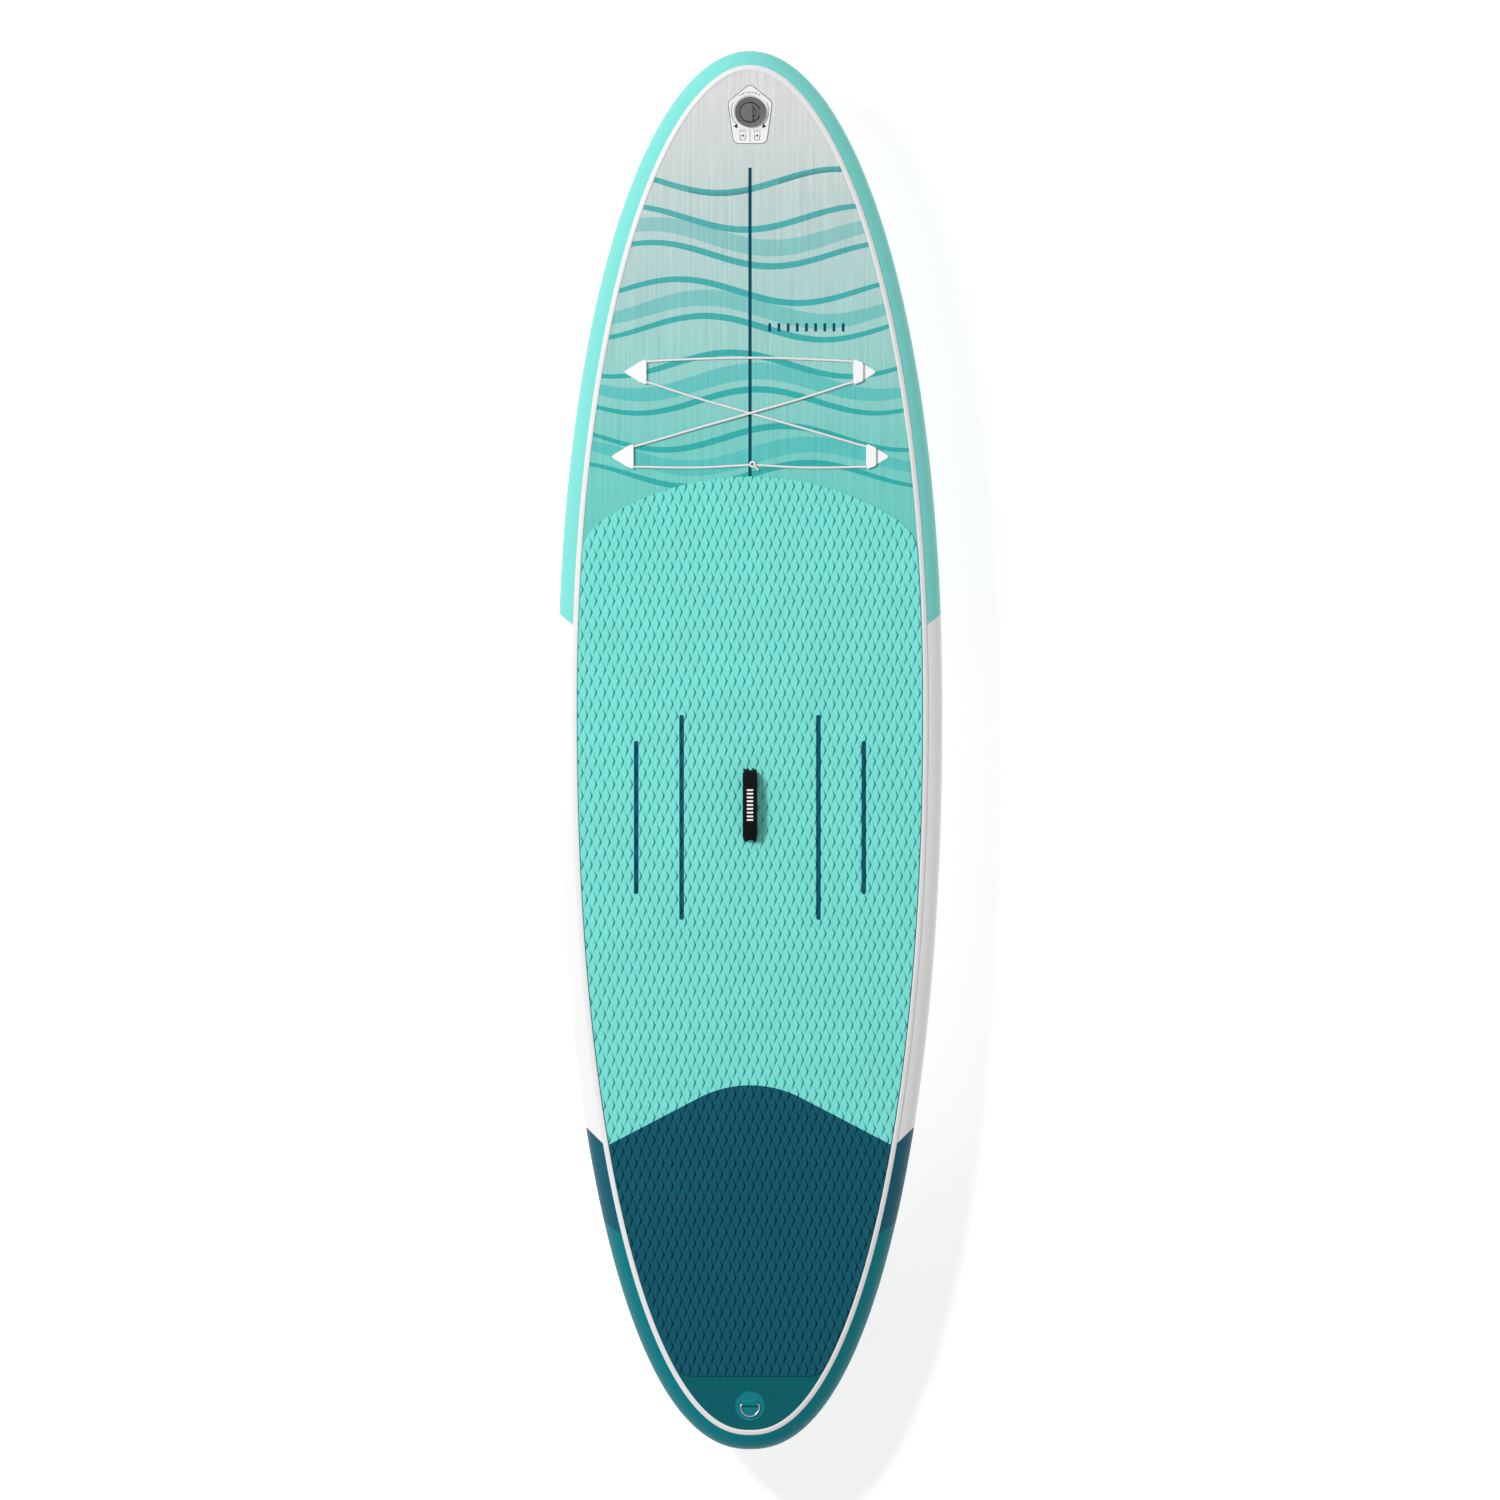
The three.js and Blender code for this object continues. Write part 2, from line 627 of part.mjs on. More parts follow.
function tailPadShape() {
  const rearY = TAIL_Y + PAD_REAR_FROM_TAIL;
  const corner = insetPoint(stationAt(rearY, PAD_INSET), PAD_INSET);
  const frontY = meetSide((x) => padSplit(x) - PAD_JOINT, TAIL_Y + PAD_SPLIT_FROM_TAIL);
  const side = padSide(rearY + PAD_REAR_CORNER, frontY, 14);
  const rearEnd = new THREE.Vector2(corner.x - PAD_REAR_CORNER, rearY);
  const turn = softCorner(rearEnd, corner, side[0]);
  const front = curveAcross(padSplit, side.at(-1).x, 22, -PAD_JOINT).slice(1, -1);
  const right = [rearEnd, ...turn, ...side];
  return new THREE.Shape([...right, ...front, ...mirrored(right)]);
}

function deckPads() {
  const low = DECK + GAP;
  const high = low + PAD;
  const shape = mainPadShape();
  for (const inlay of [OUTER_INLAY, INNER_INLAY]) {
    for (const side of [-1, 1]) {
      const place = { ...inlay, x: side * inlay.x };
      shape.holes.push(capsule(place, INLAY_WIDTH + 2 * GAP));
      const name = `pad_inlay_${inlay === OUTER_INLAY ? 'outer' : 'inner'}`;
      const strip = layer(capsule(place, INLAY_WIDTH), low, high);
      add(`${name}_${side > 0 ? 'right' : 'left'}`, strip, INLAY_BLUE, 0.8);
    }
  }
  const pad = cut(layer(shape, low, high), ...handlePockets());
  add('deck_pad_main', pad, 0x80dbd3, 0.8);
  add('deck_pad_tail', layer(tailPadShape(), low, high), 0x1c6575, 0.8);
}

// ------------------------------------------------------------------ handle
const LEG_Y = HANDLE_SPAN / 2;
const TAB_Y = LEG_Y + WEBBING.thickness + GAP;
const PATCH_LOW = DECK + GAP;
const FOOT_LOW = PATCH_LOW + HANDLE_PATCH.thickness + GAP;
const PAD_TOP = DECK + GAP + PAD;

/** Rooms in the pad for the handle's patches, feet and legs. */
function handlePockets() {
  const pockets = [];
  for (const end of [-1, 1]) {
    const y = HANDLE_Y + end * (TAB_Y + TAB_FOOT / 2);
    const roof = FOOT_LOW + TAB_FOOT_THICKNESS + GAP;
    const { width, length } = HANDLE_PATCH;
    const room = rectangle(width + 2 * GAP, length + 2 * GAP, 8, 0, y);
    pockets.push(layer(room, DECK, roof));
    const legY = HANDLE_Y + end * TAB_Y;
    const slot = block(WEBBING.width + 4 * GAP, WEBBING.thickness + 4 * GAP, DECK, PAD_TOP + 4 * GAP);
    pockets.push(slot.translate(0, legY, lift(legY)));
  }
  return pockets;
}

/** Foot welded under the pad, with a leg that stands up through it. */
function handleTab(end) {
  const legTop = HANDLE_AXIS + HANDLE_LAP + PAD_TOP;
  const y = HANDLE_Y + end * TAB_Y;
  const footTop = FOOT_LOW + TAB_FOOT_THICKNESS;
  const plate = rectangle(WEBBING.width, TAB_FOOT, 1, 0, y + (end * TAB_FOOT) / 2);
  const leg = block(WEBBING.width, WEBBING.thickness, FOOT_LOW, legTop, 0, y);
  return join(layer(plate, FOOT_LOW, footTop), leg.translate(0, 0, lift(y)));
}

/** Point on the centreline at a distance from the handle's middle and a height over the pad. */
function handlePoint(along, height) {
  return new THREE.Vector3(0, HANDLE_Y + along, PAD_TOP + height + lift(HANDLE_Y + along));
}

function handleArch() {
  return new THREE.CubicBezierCurve3(
    handlePoint(-LEG_Y, HANDLE_LEG),
    handlePoint(8 - LEG_Y, HANDLE_RISE),
    handlePoint(LEG_Y - 8, HANDLE_RISE),
    handlePoint(LEG_Y, HANDLE_LEG),
  );
}

function alongPath(shape, path, steps) {
  return new THREE.ExtrudeGeometry(shape, {
    steps, extrudePath: path, bevelEnabled: false, curveSegments: 2,
  });
}

function flatSection(width, thickness) {
  const [w, t] = [width / 2, thickness / 2];
  return [[-w, -t], [w, -t], [w, t], [-w, t]].map(([x, y]) => new THREE.Vector2(x, y));
}

function handleWebbing() {
  const arch = handleArch().getPoints(16);
  const legEnd = HANDLE_AXIS - HANDLE_LAP;
  const points = [handlePoint(-LEG_Y, legEnd), ...arch, handlePoint(LEG_Y, legEnd)];
  const path = new THREE.CatmullRomCurve3(points);
  return alongPath(new THREE.Shape(flatSection(WEBBING.width, WEBBING.thickness)), path, 18);
}

function handleSleeve() {
  const section = rectangle(SLEEVE.width, SLEEVE.thickness, SLEEVE.thickness / 2 - 0.5);
  const room = flatSection(WEBBING.width + 4 * GAP, WEBBING.thickness + 4 * GAP);
  section.holes.push(new THREE.Path(room));
  const arch = handleArch();
  const trimmed = Array.from({ length: 13 }, (_, i) => (
    arch.getPoint(SLEEVE.trim + ((1 - 2 * SLEEVE.trim) * i) / 12)
  ));
  return alongPath(section, new THREE.CatmullRomCurve3(trimmed), 12);
}

function handle() {
  for (const [name, end] of [['front', 1], ['rear', -1]]) {
    const y = HANDLE_Y + end * (TAB_Y + TAB_FOOT / 2);
    const plate = rectangle(HANDLE_PATCH.width, HANDLE_PATCH.length, 8, 0, y);
    const patch = layer(plate, PATCH_LOW, PATCH_LOW + HANDLE_PATCH.thickness);
    add(`handle_patch_${name}`, patch, MINT);
    add(`handle_tab_${name}`, handleTab(end), BLACK, 0.8);
  }
  add('handle_webbing', handleWebbing(), BLACK, 0.8);
  add('handle_sleeve', handleSleeve(), BLACK, 0.7);
}

// ------------------------------------------------------------------ bungee
/** Curve whose steps are spread evenly over its points, so tight turns get short steps. */
class EvenCurve extends THREE.CatmullRomCurve3 {
  getUtoTmapping(u) {
    return u;
  }
}

function deckPoint([x, y, height]) {
  return new THREE.Vector3(x, y, DECK + lift(y) + height);
}

function anchorPlace({ fromNose, fromRail }) {
  const y = NOSE_Y - fromNose;
  return { x: edge(stationAt(y, 0)).x - fromRail, y };
}

/** Tunnel through a keeper: a half ellipse with its two mouths on the flat side. */
function keeperTunnel(place, side) {
  const half = TURN.halfHeight;
  const diagonal = Math.SQRT1_2;
  const plan = [
    [-14, -half], [0, -half], [TURN.reach * diagonal, -half * diagonal], [TURN.reach, 0],
    [TURN.reach * diagonal, half * diagonal], [0, half], [-14, half],
  ];
  const points = plan.map(([out, along]) => (
    deckPoint([side * (place.x + out), place.y + along, CHANNEL_HEIGHT])
  ));
  return alongPath(circle(CHANNEL_RADIUS, 0, 0, 8), new EvenCurve(points), 12);
}

function bungeeAnchors() {
  const low = DECK + GAP;
  const high = low + ANCHOR.thickness;
  for (const [level, anchor] of [['upper', UPPER_ANCHOR], ['lower', LOWER_ANCHOR]]) {
    const place = anchorPlace(anchor);
    for (const [name, side] of [['left', -1], ['right', 1]]) {
      const at = (out, along) => [side * (place.x + out), place.y + along];
      const { halfHeight, reach, corner } = ANCHOR;
      const triangle = [at(0, -halfHeight), at(reach + 6, 0), at(0, halfHeight)];
      const patch = layer(roundedShape(triangle, corner), low, high);
      add(`bungee_patch_${level}_${name}`, patch, WHITE);
      const { mouth, back } = KEEPER;
      const crown = DECK + CHANNEL_HEIGHT + CHANNEL_RADIUS + KEEPER.roof;
      const trapezoid = [at(1, -mouth), at(KEEPER.reach, -back), at(KEEPER.reach, back), at(1, mouth)];
      const hump = layer(roundedShape(trapezoid, KEEPER.corner), high + GAP, crown);
      add(`bungee_keeper_${level}_${name}`, cut(hump, keeperTunnel(place, side)), WHITE);
    }
  }
}

function bungee() {
  const route = new EvenCurve(BUNGEE_ROUTE.map(deckPoint));
  const cord = alongPath(circle(BUNGEE_DIAMETER / 2, 0, 0, 8), route, BUNGEE_STEPS);
  add('bungee_cord', cord, WHITE, 0.7);
  const radius = BUNGEE_DIAMETER / 2;
  const centre = deckPoint([KNOT.x, KNOT.y, KNOT.height]);
  const loop = new THREE.TorusGeometry(KNOT.ring, radius, 6, 12);
  const wrap = new THREE.TorusGeometry(KNOT.wrap, radius, 6, 10).rotateY(Math.PI / 2);
  const tail = new THREE.CylinderGeometry(radius, radius, KNOT.tail, 8);
  const strands = [
    loop.translate(centre.x, centre.y, centre.z),
    wrap.translate(centre.x + KNOT.ring, centre.y, centre.z),
    tail.rotateZ(-2.4).translate(centre.x + 9, centre.y - 9, centre.z - 1.5),
  ];
  add('bungee_knot', join(...strands), WHITE, 0.7);
}

// ------------------------------------------------------------------ valve
function valveBody() {
  const outside = turned([
    [VALVE_BORE, -VALVE_DEPTH], [VALVE_BARREL, -VALVE_DEPTH], [VALVE_BARREL, 2 * GAP + 1],
    [VALVE_FLANGE, 2 * GAP + 1], [VALVE_FLANGE, VALVE_FLANGE_TOP], [VALVE_BORE, VALVE_FLANGE_TOP],
  ]);
  const low = SPIDER_TOP - SPIDER;
  const arms = [0, 1, 2].map((i) => {
    const arm = block(VALVE_BORE - 1, SPIDER, low, SPIDER_TOP, (VALVE_BORE + 2) / 2 + 1, 0);
    return arm.rotateZ((i * 2 * Math.PI) / 3);
  });
  const hub = rod(2 * STEM_RADIUS + 1, low, SPIDER_TOP);
  const bore = rod(STEM_RADIUS + STEM_CLEARANCE, low - 1, SPIDER_TOP + 1);
  return cut(join(outside, hub, ...arms), bore);
}

function valveCap() {
  const under = VALVE_FLANGE_TOP + CAP_WALL;
  const lip = CAP_RADIUS - CAP_WALL;
  const shell = turned([
    [0, under], [lip, under], [lip, 1], [CAP_RADIUS, 1], [CAP_RADIUS, CAP_RIM],
    [CAP_RADIUS - 3, CAP_RIM], [CAP_RADIUS - 5, CAP_TOP], [CAP_BOSS, CAP_TOP],
    [CAP_BOSS - 2, CAP_RIM], [0, CAP_RIM],
  ]);
  const grip = block(CAP_GRIP.thickness, CAP_GRIP.length, CAP_TOP, CAP_GRIP.top, 4, 0);
  const recess = slab(circle(CAP_BOSS - 7, 0, 0), CAP_TOP, CAP_TOP + 10);
  const half = block(2 * CAP_BOSS, 2 * CAP_BOSS, CAP_TOP - 1, CAP_TOP + 11, CAP_BOSS + 4, 0);
  return join(cut(shell, common(recess, half)), grip);
}

function valveStem() {
  const bottom = -VALVE_DEPTH - 8.4;
  return turned([
    [0, bottom], [STEM_FOOT, bottom], [STEM_FOOT, bottom + 2], [STEM_RADIUS, bottom + 2],
    [STEM_RADIUS, -4], [STEM_BUTTON, -4], [STEM_BUTTON, 0], [0, 0],
  ], 12);
}

function valveSpring() {
  const low = SPIDER_TOP + 2 * SPRING_WIRE;
  const high = -4 - 2 * SPRING_WIRE;
  const points = [];
  const perTurn = 8;
  for (let i = 0; i <= SPRING_TURNS * perTurn; i += 1) {
    const angle = (i / perTurn) * 2 * Math.PI;
    const z = THREE.MathUtils.lerp(low, high, i / (SPRING_TURNS * perTurn));
    points.push(new THREE.Vector3(SPRING_RADIUS * Math.cos(angle), SPRING_RADIUS * Math.sin(angle), z));
  }
  return alongPath(circle(SPRING_WIRE, 0, 0, 4), new EvenCurve(points), SPRING_TURNS * perTurn);
}

function valve() {
  const group = fittingGroup(VALVE_Y, DECK);
  const surround = roundedShape(SURROUND_OUTLINE.map(([x, y]) => [x, VALVE_Y + y]), 5);
  surround.holes.push(circle(SURROUND_HOLE, 0, VALVE_Y, 28));
  add('valve_surround', layer(surround, DECK + GAP, DECK + GAP + SURROUND), WHITE);
  add('valve_gasket', ring(VALVE_HOLE, VALVE_FLANGE - 1, GAP, GAP + 1), BLACK, 0.9, group);
  add('valve_body', valveBody(), GREY, 0.5, group);
  const nutTop = -SKIN - CORE_SKIN - 3 * GAP;
  const nut = ring(VALVE_HOLE - GAP, VALVE_FLANGE, nutTop - 8, nutTop);
  add('valve_base', nut, GREY, 0.5, group);
  const seat = -VALVE_DEPTH - GAP;
  const bore = STEM_RADIUS + STEM_CLEARANCE;
  const diaphragm = turned([
    [bore, seat], [DIAPHRAGM, seat], [DIAPHRAGM, seat - 2], [4.5, seat - 2.6],
    [4.5, seat - 5.4], [bore, seat - 5.4],
  ]);
  add('valve_diaphragm', diaphragm, BLACK, 0.9, group);
  add('valve_stem', valveStem(), WHITE, 0.5, group);
  add('valve_spring', valveSpring(), STEEL, 0.3, group, 1);
  const sealTop = VALVE_FLANGE_TOP + CAP_WALL - 0.3;
  add('valve_cap_seal', ring(VALVE_FLANGE - 9, VALVE_FLANGE - 3, sealTop - 1.4, sealTop), BLACK, 0.9, group);
  add('valve_cap', valveCap(), GREY, 0.5, group);
}

// ------------------------------------------------------------------ leash point
/** Wire ring shaped as a D, with its bar on the local X axis. */
function wireRing() {
  const path = [];
  const straight = RING.halfBar - RING.corner;
  const arc = (cx, cy, radius, from, to, steps) => {
    for (let i = 0; i <= steps; i += 1) {
      const angle = THREE.MathUtils.degToRad(THREE.MathUtils.lerp(from, to, i / steps));
      path.push([cx + radius * Math.cos(angle), cy + radius * Math.sin(angle), angle]);
    }
  };
  arc(straight, -RING.corner, RING.corner, 90, 0, 3);
  arc(0, -RING.shoulder, RING.halfBar, 0, -180, 14);
  arc(-straight, -RING.corner, RING.corner, 180, 90, 3);
  const sections = path.map(([x, y, angle]) => {
    const section = [];
    for (let k = 0; k < 6; k += 1) {
      const turn = (k / 6) * 2 * Math.PI;
      const out = (RING.wire / 2) * Math.cos(turn);
      const up = (RING.wire / 2) * Math.sin(turn);
      section.push([x + out * Math.cos(angle), y + out * Math.sin(angle), up]);
    }
    return section;
  });
  return loft(sections, true);
}

/** Band welded to the patch, with a tunnel for the ring's bar. */
function leashStrap() {
  const tunnel = RING.wire / 2 + GAP;
  const outer = tunnel + STRAP.wall;
  const low = LEASH_PATCH.thickness + 2 * GAP;
  const shape = new THREE.Shape();
  shape.moveTo(-outer, low);
  shape.lineTo(STRAP.tongue, low);
  shape.lineTo(STRAP.tongue, low + 1);
  shape.lineTo(outer, RING.height - 0.5);
  shape.absarc(0, RING.height, outer, -0.1, Math.PI, false);
  shape.closePath();
  const hole = new THREE.Path();
  hole.absarc(0, RING.height, tunnel, 0, 2 * Math.PI, true);
  shape.holes.push(hole);
  return acrossBoard(shape, STRAP.width);
}

function leashPoint() {
  const y = TAIL_Y + LEASH_FROM_TAIL;
  const group = fittingGroup(y, DECK);
  const patch = circle(LEASH_PATCH.radius, 0, y, 28);
  add('leash_patch', layer(patch, DECK + GAP, DECK + GAP + LEASH_PATCH.thickness), TEAL);
  const strap = leashStrap().translate(0, RING.y, 0);
  add('leash_strap', strap, TEAL, 0.5, group);
  const hanger = new THREE.Group();
  hanger.position.set(0, RING.y, RING.height);
  hanger.rotation.x = THREE.MathUtils.degToRad(RING.droop);
  group.add(hanger);
  add('leash_ring', wireRing(), STEEL, 0.25, hanger, 1);
}

// ------------------------------------------------------------------ fins
/** Swept fin with a rounded tip that hangs from z = 0. */
function finBlade({ depth, chord, thickness, front, sweep }) {
  const along = [0, 0.04, 0.14, 0.36, 0.7, 1];
  const bulge = [0.14, 0.5, 0.82, 1, 0.6, 0.12];
  const levels = [0, 0.15, 0.3, 0.45, 0.6, 0.72, 0.82, 0.9, 0.96, 1];
  const sections = levels.map((level) => {
    const length = chord * (1 - level ** 1.6) ** 0.62 + thickness / 2;
    const lead = front - sweep * level ** 1.4;
    const half = (thickness / 2) * (1 - 0.6 * level);
    const face = (side) => along.map((share, k) => (
      [side * half * bulge[k], lead - length * share, -depth * level]
    ));
    return [...face(1), ...face(-1).reverse()];
  });
  return loft(sections);
}

function finBox() {
  const { length, ceiling, width } = FIN_SLOT;
  const top = -GAP * 2 - FIN_PATCH.thickness;
  const base = slab(rectangle(FIN_BASE.width, FIN_BASE.length, 18), top - FIN_BASE.thickness, top);
  const boss = slab(rectangle(FIN_BOSS.width, FIN_BOSS.length, 10), -FIN_BOSS.depth, top - 1);
  const slot = block(width, length, -FIN_BOSS.depth - 1, -ceiling);
  const grooveLow = -FIN_GROOVE.top - FIN_GROOVE.depth;
  const groove = block(FIN_GROOVE.width, length, grooveLow, -FIN_GROOVE.top);
  const notch = block(FIN_GROOVE.width, 12, -FIN_BOSS.depth - 1, grooveLow + 1, 0, 94);
  return cut(join(base, boss), slot, groove, notch);
}

function centreFin() {
  const face = -FIN_BOSS.depth - FIN_CLEARANCE;
  const width = FIN_SLOT.width - 2 * FIN_CLEARANCE;
  const blade = finBlade(FIN).translate(0, 0, face);
  const tabLength = FIN_TAB.front - FIN_TAB.rear;
  const tabCentre = (FIN_TAB.front + FIN_TAB.rear) / 2;
  const tab = block(width, tabLength, face - 0.5, -FIN_TAB.top, 0, tabCentre);
  const lugCentre = FIN_TAB.front + FIN_LUG.length / 2 - 0.5;
  const lug = block(width, FIN_LUG.length + 1, face + 0.5, -FIN_LUG.face, 0, lugCentre);
  const screwHole = rod(FIN_SCREW.shank + FIN_SCREW.clearance, face - 5, -FIN_LUG.face + 1);
  const pinHole = rod(FIN_GROOVE.depth / 2, -width, width).rotateY(Math.PI / 2);
  return cut(
    join(blade, tab, lug),
    screwHole.translate(0, screwY(), 0),
    pinHole.translate(0, pinY(), grooveHeight()),
  );
}

function screwY() {
  return FIN_TAB.front + FIN_LUG.length / 2 + 1;
}

function pinY() {
  return FIN_TAB.rear + 14;
}

function grooveHeight() {
  return -FIN_GROOVE.top - FIN_GROOVE.depth / 2;
}

function finScrew() {
  const face = -FIN_BOSS.depth - FIN_CLEARANCE + 0.5;
  const headTop = face - FIN_CLEARANCE;
  const shank = rod(FIN_SCREW.shank, headTop - 1, -FIN_GROOVE.top - 0.3, 12);
  const head = rod(FIN_SCREW.head, headTop - 3, headTop, 20);
  const recess = block(1.2, 2 * FIN_SCREW.head + 2, headTop - 4, headTop - 2);
  return cut(join(head, shank), recess);
}

function finPlate() {
  const width = FIN_GROOVE.width - 2 * FIN_CLEARANCE;
  const high = -FIN_GROOVE.top - FIN_CLEARANCE;
  const low = high - FIN_GROOVE.depth + 2 * FIN_CLEARANCE;
  const plate = block(width, 11, low, high);
  return cut(plate, rod(FIN_SCREW.shank + FIN_SCREW.clearance, low - 1, high + 1, 12));
}

function fins() {
  const y = TAIL_Y + FIN_FROM_TAIL;
  const group = new THREE.Group();
  group.position.set(0, y, 0);
  board.add(group);
  const patch = rectangle(FIN_PATCH.width, FIN_PATCH.length, 30, 0, y);
  add('fin_box_patch', layer(patch, -GAP - FIN_PATCH.thickness, -GAP), WHITE);
  add('fin_box', finBox(), BLACK, 0.5, group);
  add('centre_fin', centreFin(), NAVY, 0.35, group);
  const pinLength = FIN_GROOVE.width - 2 * FIN_CLEARANCE;
  const pin = rod(FIN_GROOVE.depth / 2 - FIN_CLEARANCE, -pinLength / 2, pinLength / 2, 12);
  pin.rotateY(Math.PI / 2).translate(0, pinY(), grooveHeight());
  add('fin_pin', pin, 0xb58a3c, 0.35, group, 1);
  add('fin_screw', finScrew().translate(0, screwY(), 0), STEEL, 0.3, group, 1);
  add('fin_plate', finPlate().translate(0, screwY(), 0), 0xb58a3c, 0.35, group, 1);
  for (const [name, side] of [['left', -1], ['right', 1]]) {
    const place = new THREE.Group();
    place.position.set(side * SIDE_FIN_X, TAIL_Y + SIDE_FIN_FROM_TAIL, -GAP);
    board.add(place);
    const plate = rectangle(SIDE_BASE.width, SIDE_BASE.length, 20);
    add(`side_fin_base_${name}`, slab(plate, -SIDE_BASE.thickness, 0), WHITE, 0.5, place);
    const blade = finBlade(SIDE_FIN).translate(0, 0, -SIDE_BASE.thickness - GAP);
    add(`side_fin_${name}`, blade, NAVY, 0.35, place);
  }
}

skins();
railBands();
add('deck_seam_tape', seamTape(true), WHITE);
add('bottom_seam_tape', seamTape(false), WHITE);
add('drop_stitch_core', dropStitchCore(), 0xd8d8d2, 0.9);
deckPads();
handle();
bungeeAnchors();
bungee();
valve();
leashPoint();
fins();

export default board;
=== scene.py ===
"""Inflatable stand up paddleboard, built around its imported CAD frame."""

import math

import bmesh
import bpy
import numpy as np
from mathutils import Matrix, Vector


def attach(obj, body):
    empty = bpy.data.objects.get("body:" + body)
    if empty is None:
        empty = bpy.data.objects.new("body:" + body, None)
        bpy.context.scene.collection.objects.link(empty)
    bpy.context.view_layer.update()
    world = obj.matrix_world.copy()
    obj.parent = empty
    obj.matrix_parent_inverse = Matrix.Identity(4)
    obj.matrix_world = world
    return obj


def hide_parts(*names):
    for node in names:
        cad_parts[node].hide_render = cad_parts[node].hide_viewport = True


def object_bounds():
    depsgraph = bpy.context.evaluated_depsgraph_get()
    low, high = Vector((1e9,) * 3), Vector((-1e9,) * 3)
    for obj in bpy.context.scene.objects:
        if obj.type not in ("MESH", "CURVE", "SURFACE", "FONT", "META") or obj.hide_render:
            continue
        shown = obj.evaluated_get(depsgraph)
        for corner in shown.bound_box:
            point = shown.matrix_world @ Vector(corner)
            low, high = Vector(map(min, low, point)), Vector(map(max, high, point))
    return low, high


bl_info = {
    "name": "Stand Up Paddleboard",
    "version": (1, 0, 0),
    "blender": (4, 5, 0),
    "location": "View3D > Sidebar > Paddleboard",
    "description": "Builds an inflatable stand up paddleboard piece by piece",
    "category": "Object",
}

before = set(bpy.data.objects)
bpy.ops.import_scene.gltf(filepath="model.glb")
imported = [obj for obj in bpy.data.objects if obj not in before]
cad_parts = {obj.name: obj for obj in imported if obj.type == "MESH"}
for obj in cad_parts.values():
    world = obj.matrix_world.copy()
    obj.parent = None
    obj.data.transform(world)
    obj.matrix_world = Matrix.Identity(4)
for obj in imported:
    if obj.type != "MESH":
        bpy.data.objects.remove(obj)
CAD_BOX = [[float(v) for v in corner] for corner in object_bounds()]
MM = 0.001

# ---------------------------------------------------------------- hull sizes, in metres
LENGTH = CAD_BOX[1][1] - CAD_BOX[0][1]
WIDTH = CAD_BOX[1][0] - CAD_BOX[0][0]
THICKNESS = 0.120
WIDE_POINT = 0.0865
NOSE_Y = CAD_BOX[1][1]
TAIL_Y = CAD_BOX[0][1]
NOSE_FULLNESS = 2.11
TAIL_FULLNESS = 2.115
NOSE_ROUNDNESS = 0.5
TAIL_ROUNDNESS = 0.45
NOSE_ROCKER = 0.150
NOSE_ROCKER_RUN = 1.424
NOSE_ROCKER_POWER = 2.4
TAIL_KICK = 0.020
TAIL_KICK_RUN = 0.260
SEAM_INSET = 0.038
RAIL_RADIUS = (THICKNESS ** 2 / 4 + SEAM_INSET ** 2) / (2 * SEAM_INSET)
TAPE_OUTER = 0.031
TAPE_INNER = 0.042
DECK_EDGE = 0.040
PAD_INSET = 0.044
PAD_LOW = 0.1204
PAD_TOP = 0.1254
PAD_FRONT = 0.596
PAD_FRONT_RADIUS = 0.590
PAD_SPLIT = -0.7307
PAD_SPLIT_RADIUS = 0.240
PAD_SPLIT_SLOPE = math.radians(27.5)
PAD_REAR = -1.364
HANDLE_Y = -0.120
VALVE_Y = 1.392
LEASH_Y = -1.430
LOZENGE_WIDTH = 0.0196
LOZENGE_LENGTH = 0.050
# painted shade at each foam lozenge's right corner, across and along it, in metres
PAINTED_SHADE_ACROSS = (-0.0036, -0.0014, 0.0, 0.0009)  # where a lozenge's mark starts, is full, starts to fade, ends
PAINTED_SHADE_ALONG = (-0.0150, -0.0030, 0.0010, 0.0125)

BUNGEE_ROUTE = [  # across, along, height above the deck, in millimetres
    (-2.6, 621, 5), (-120, 615.5, 4), (-236, 617, 5.2), (-253, 617.5, 5.7), (-264.3, 623.9, 5.7),
    (-269, 639.5, 5.7), (-264.3, 655.1, 5.7), (-253, 661.5, 5.7), (-237, 665.8, 5.5), (-120, 700, 6),
    (0, 734, 9), (120, 768.5, 6), (209, 797.2, 5.5), (225, 802, 5.7), (236.3, 808.4, 5.7),
    (241, 824, 5.7), (236.3, 839.6, 5.7), (225, 846, 5.7), (208, 847.8, 5.2), (0, 855, 4),
    (-208, 847.8, 5.2), (-225, 846, 5.7), (-236.3, 839.6, 5.7), (-241, 824, 5.7),
    (-236.3, 808.4, 5.7), (-225, 802, 5.7), (-209, 797.2, 5.5), (-120, 768.5, 4), (0, 734, 3),
    (120, 700, 4), (237, 665.8, 5.5), (253, 661.5, 5.7), (264.3, 655.1, 5.7), (269, 639.5, 5.7),
    (264.3, 623.9, 5.7), (253, 617.5, 5.7), (236, 617, 5.2), (120, 615.5, 4), (13.4, 621, 5),
]


# ---------------------------------------------------------------- hull shape
def edge(s):
    """Rail edge in plan: s runs from -1 at the tail up the right side to 1 at the nose, then down the left."""
    station = s
    if s > 1:
        station = 2 - s
    if s < -1:
        station = -2 - s
    side = 1 if station == s else -1
    angle = abs(station) * math.pi / 2
    ahead = station >= 0
    fullness = NOSE_FULLNESS if ahead else TAIL_FULLNESS
    roundness = NOSE_ROUNDNESS if ahead else TAIL_ROUNDNESS
    run = (NOSE_Y if ahead else TAIL_Y) - WIDE_POINT
    across = max(math.cos(angle), 0.0) ** (2 * roundness)
    return Vector((side * WIDTH / 2 * across, WIDE_POINT + run * math.sin(angle) ** (2 / fullness)))


def inset_point(s, inset):
    step = 1e-4
    along = (edge(s + step) - edge(s - step)).normalized()
    return edge(s) - Vector((along.y, -along.x)) * inset


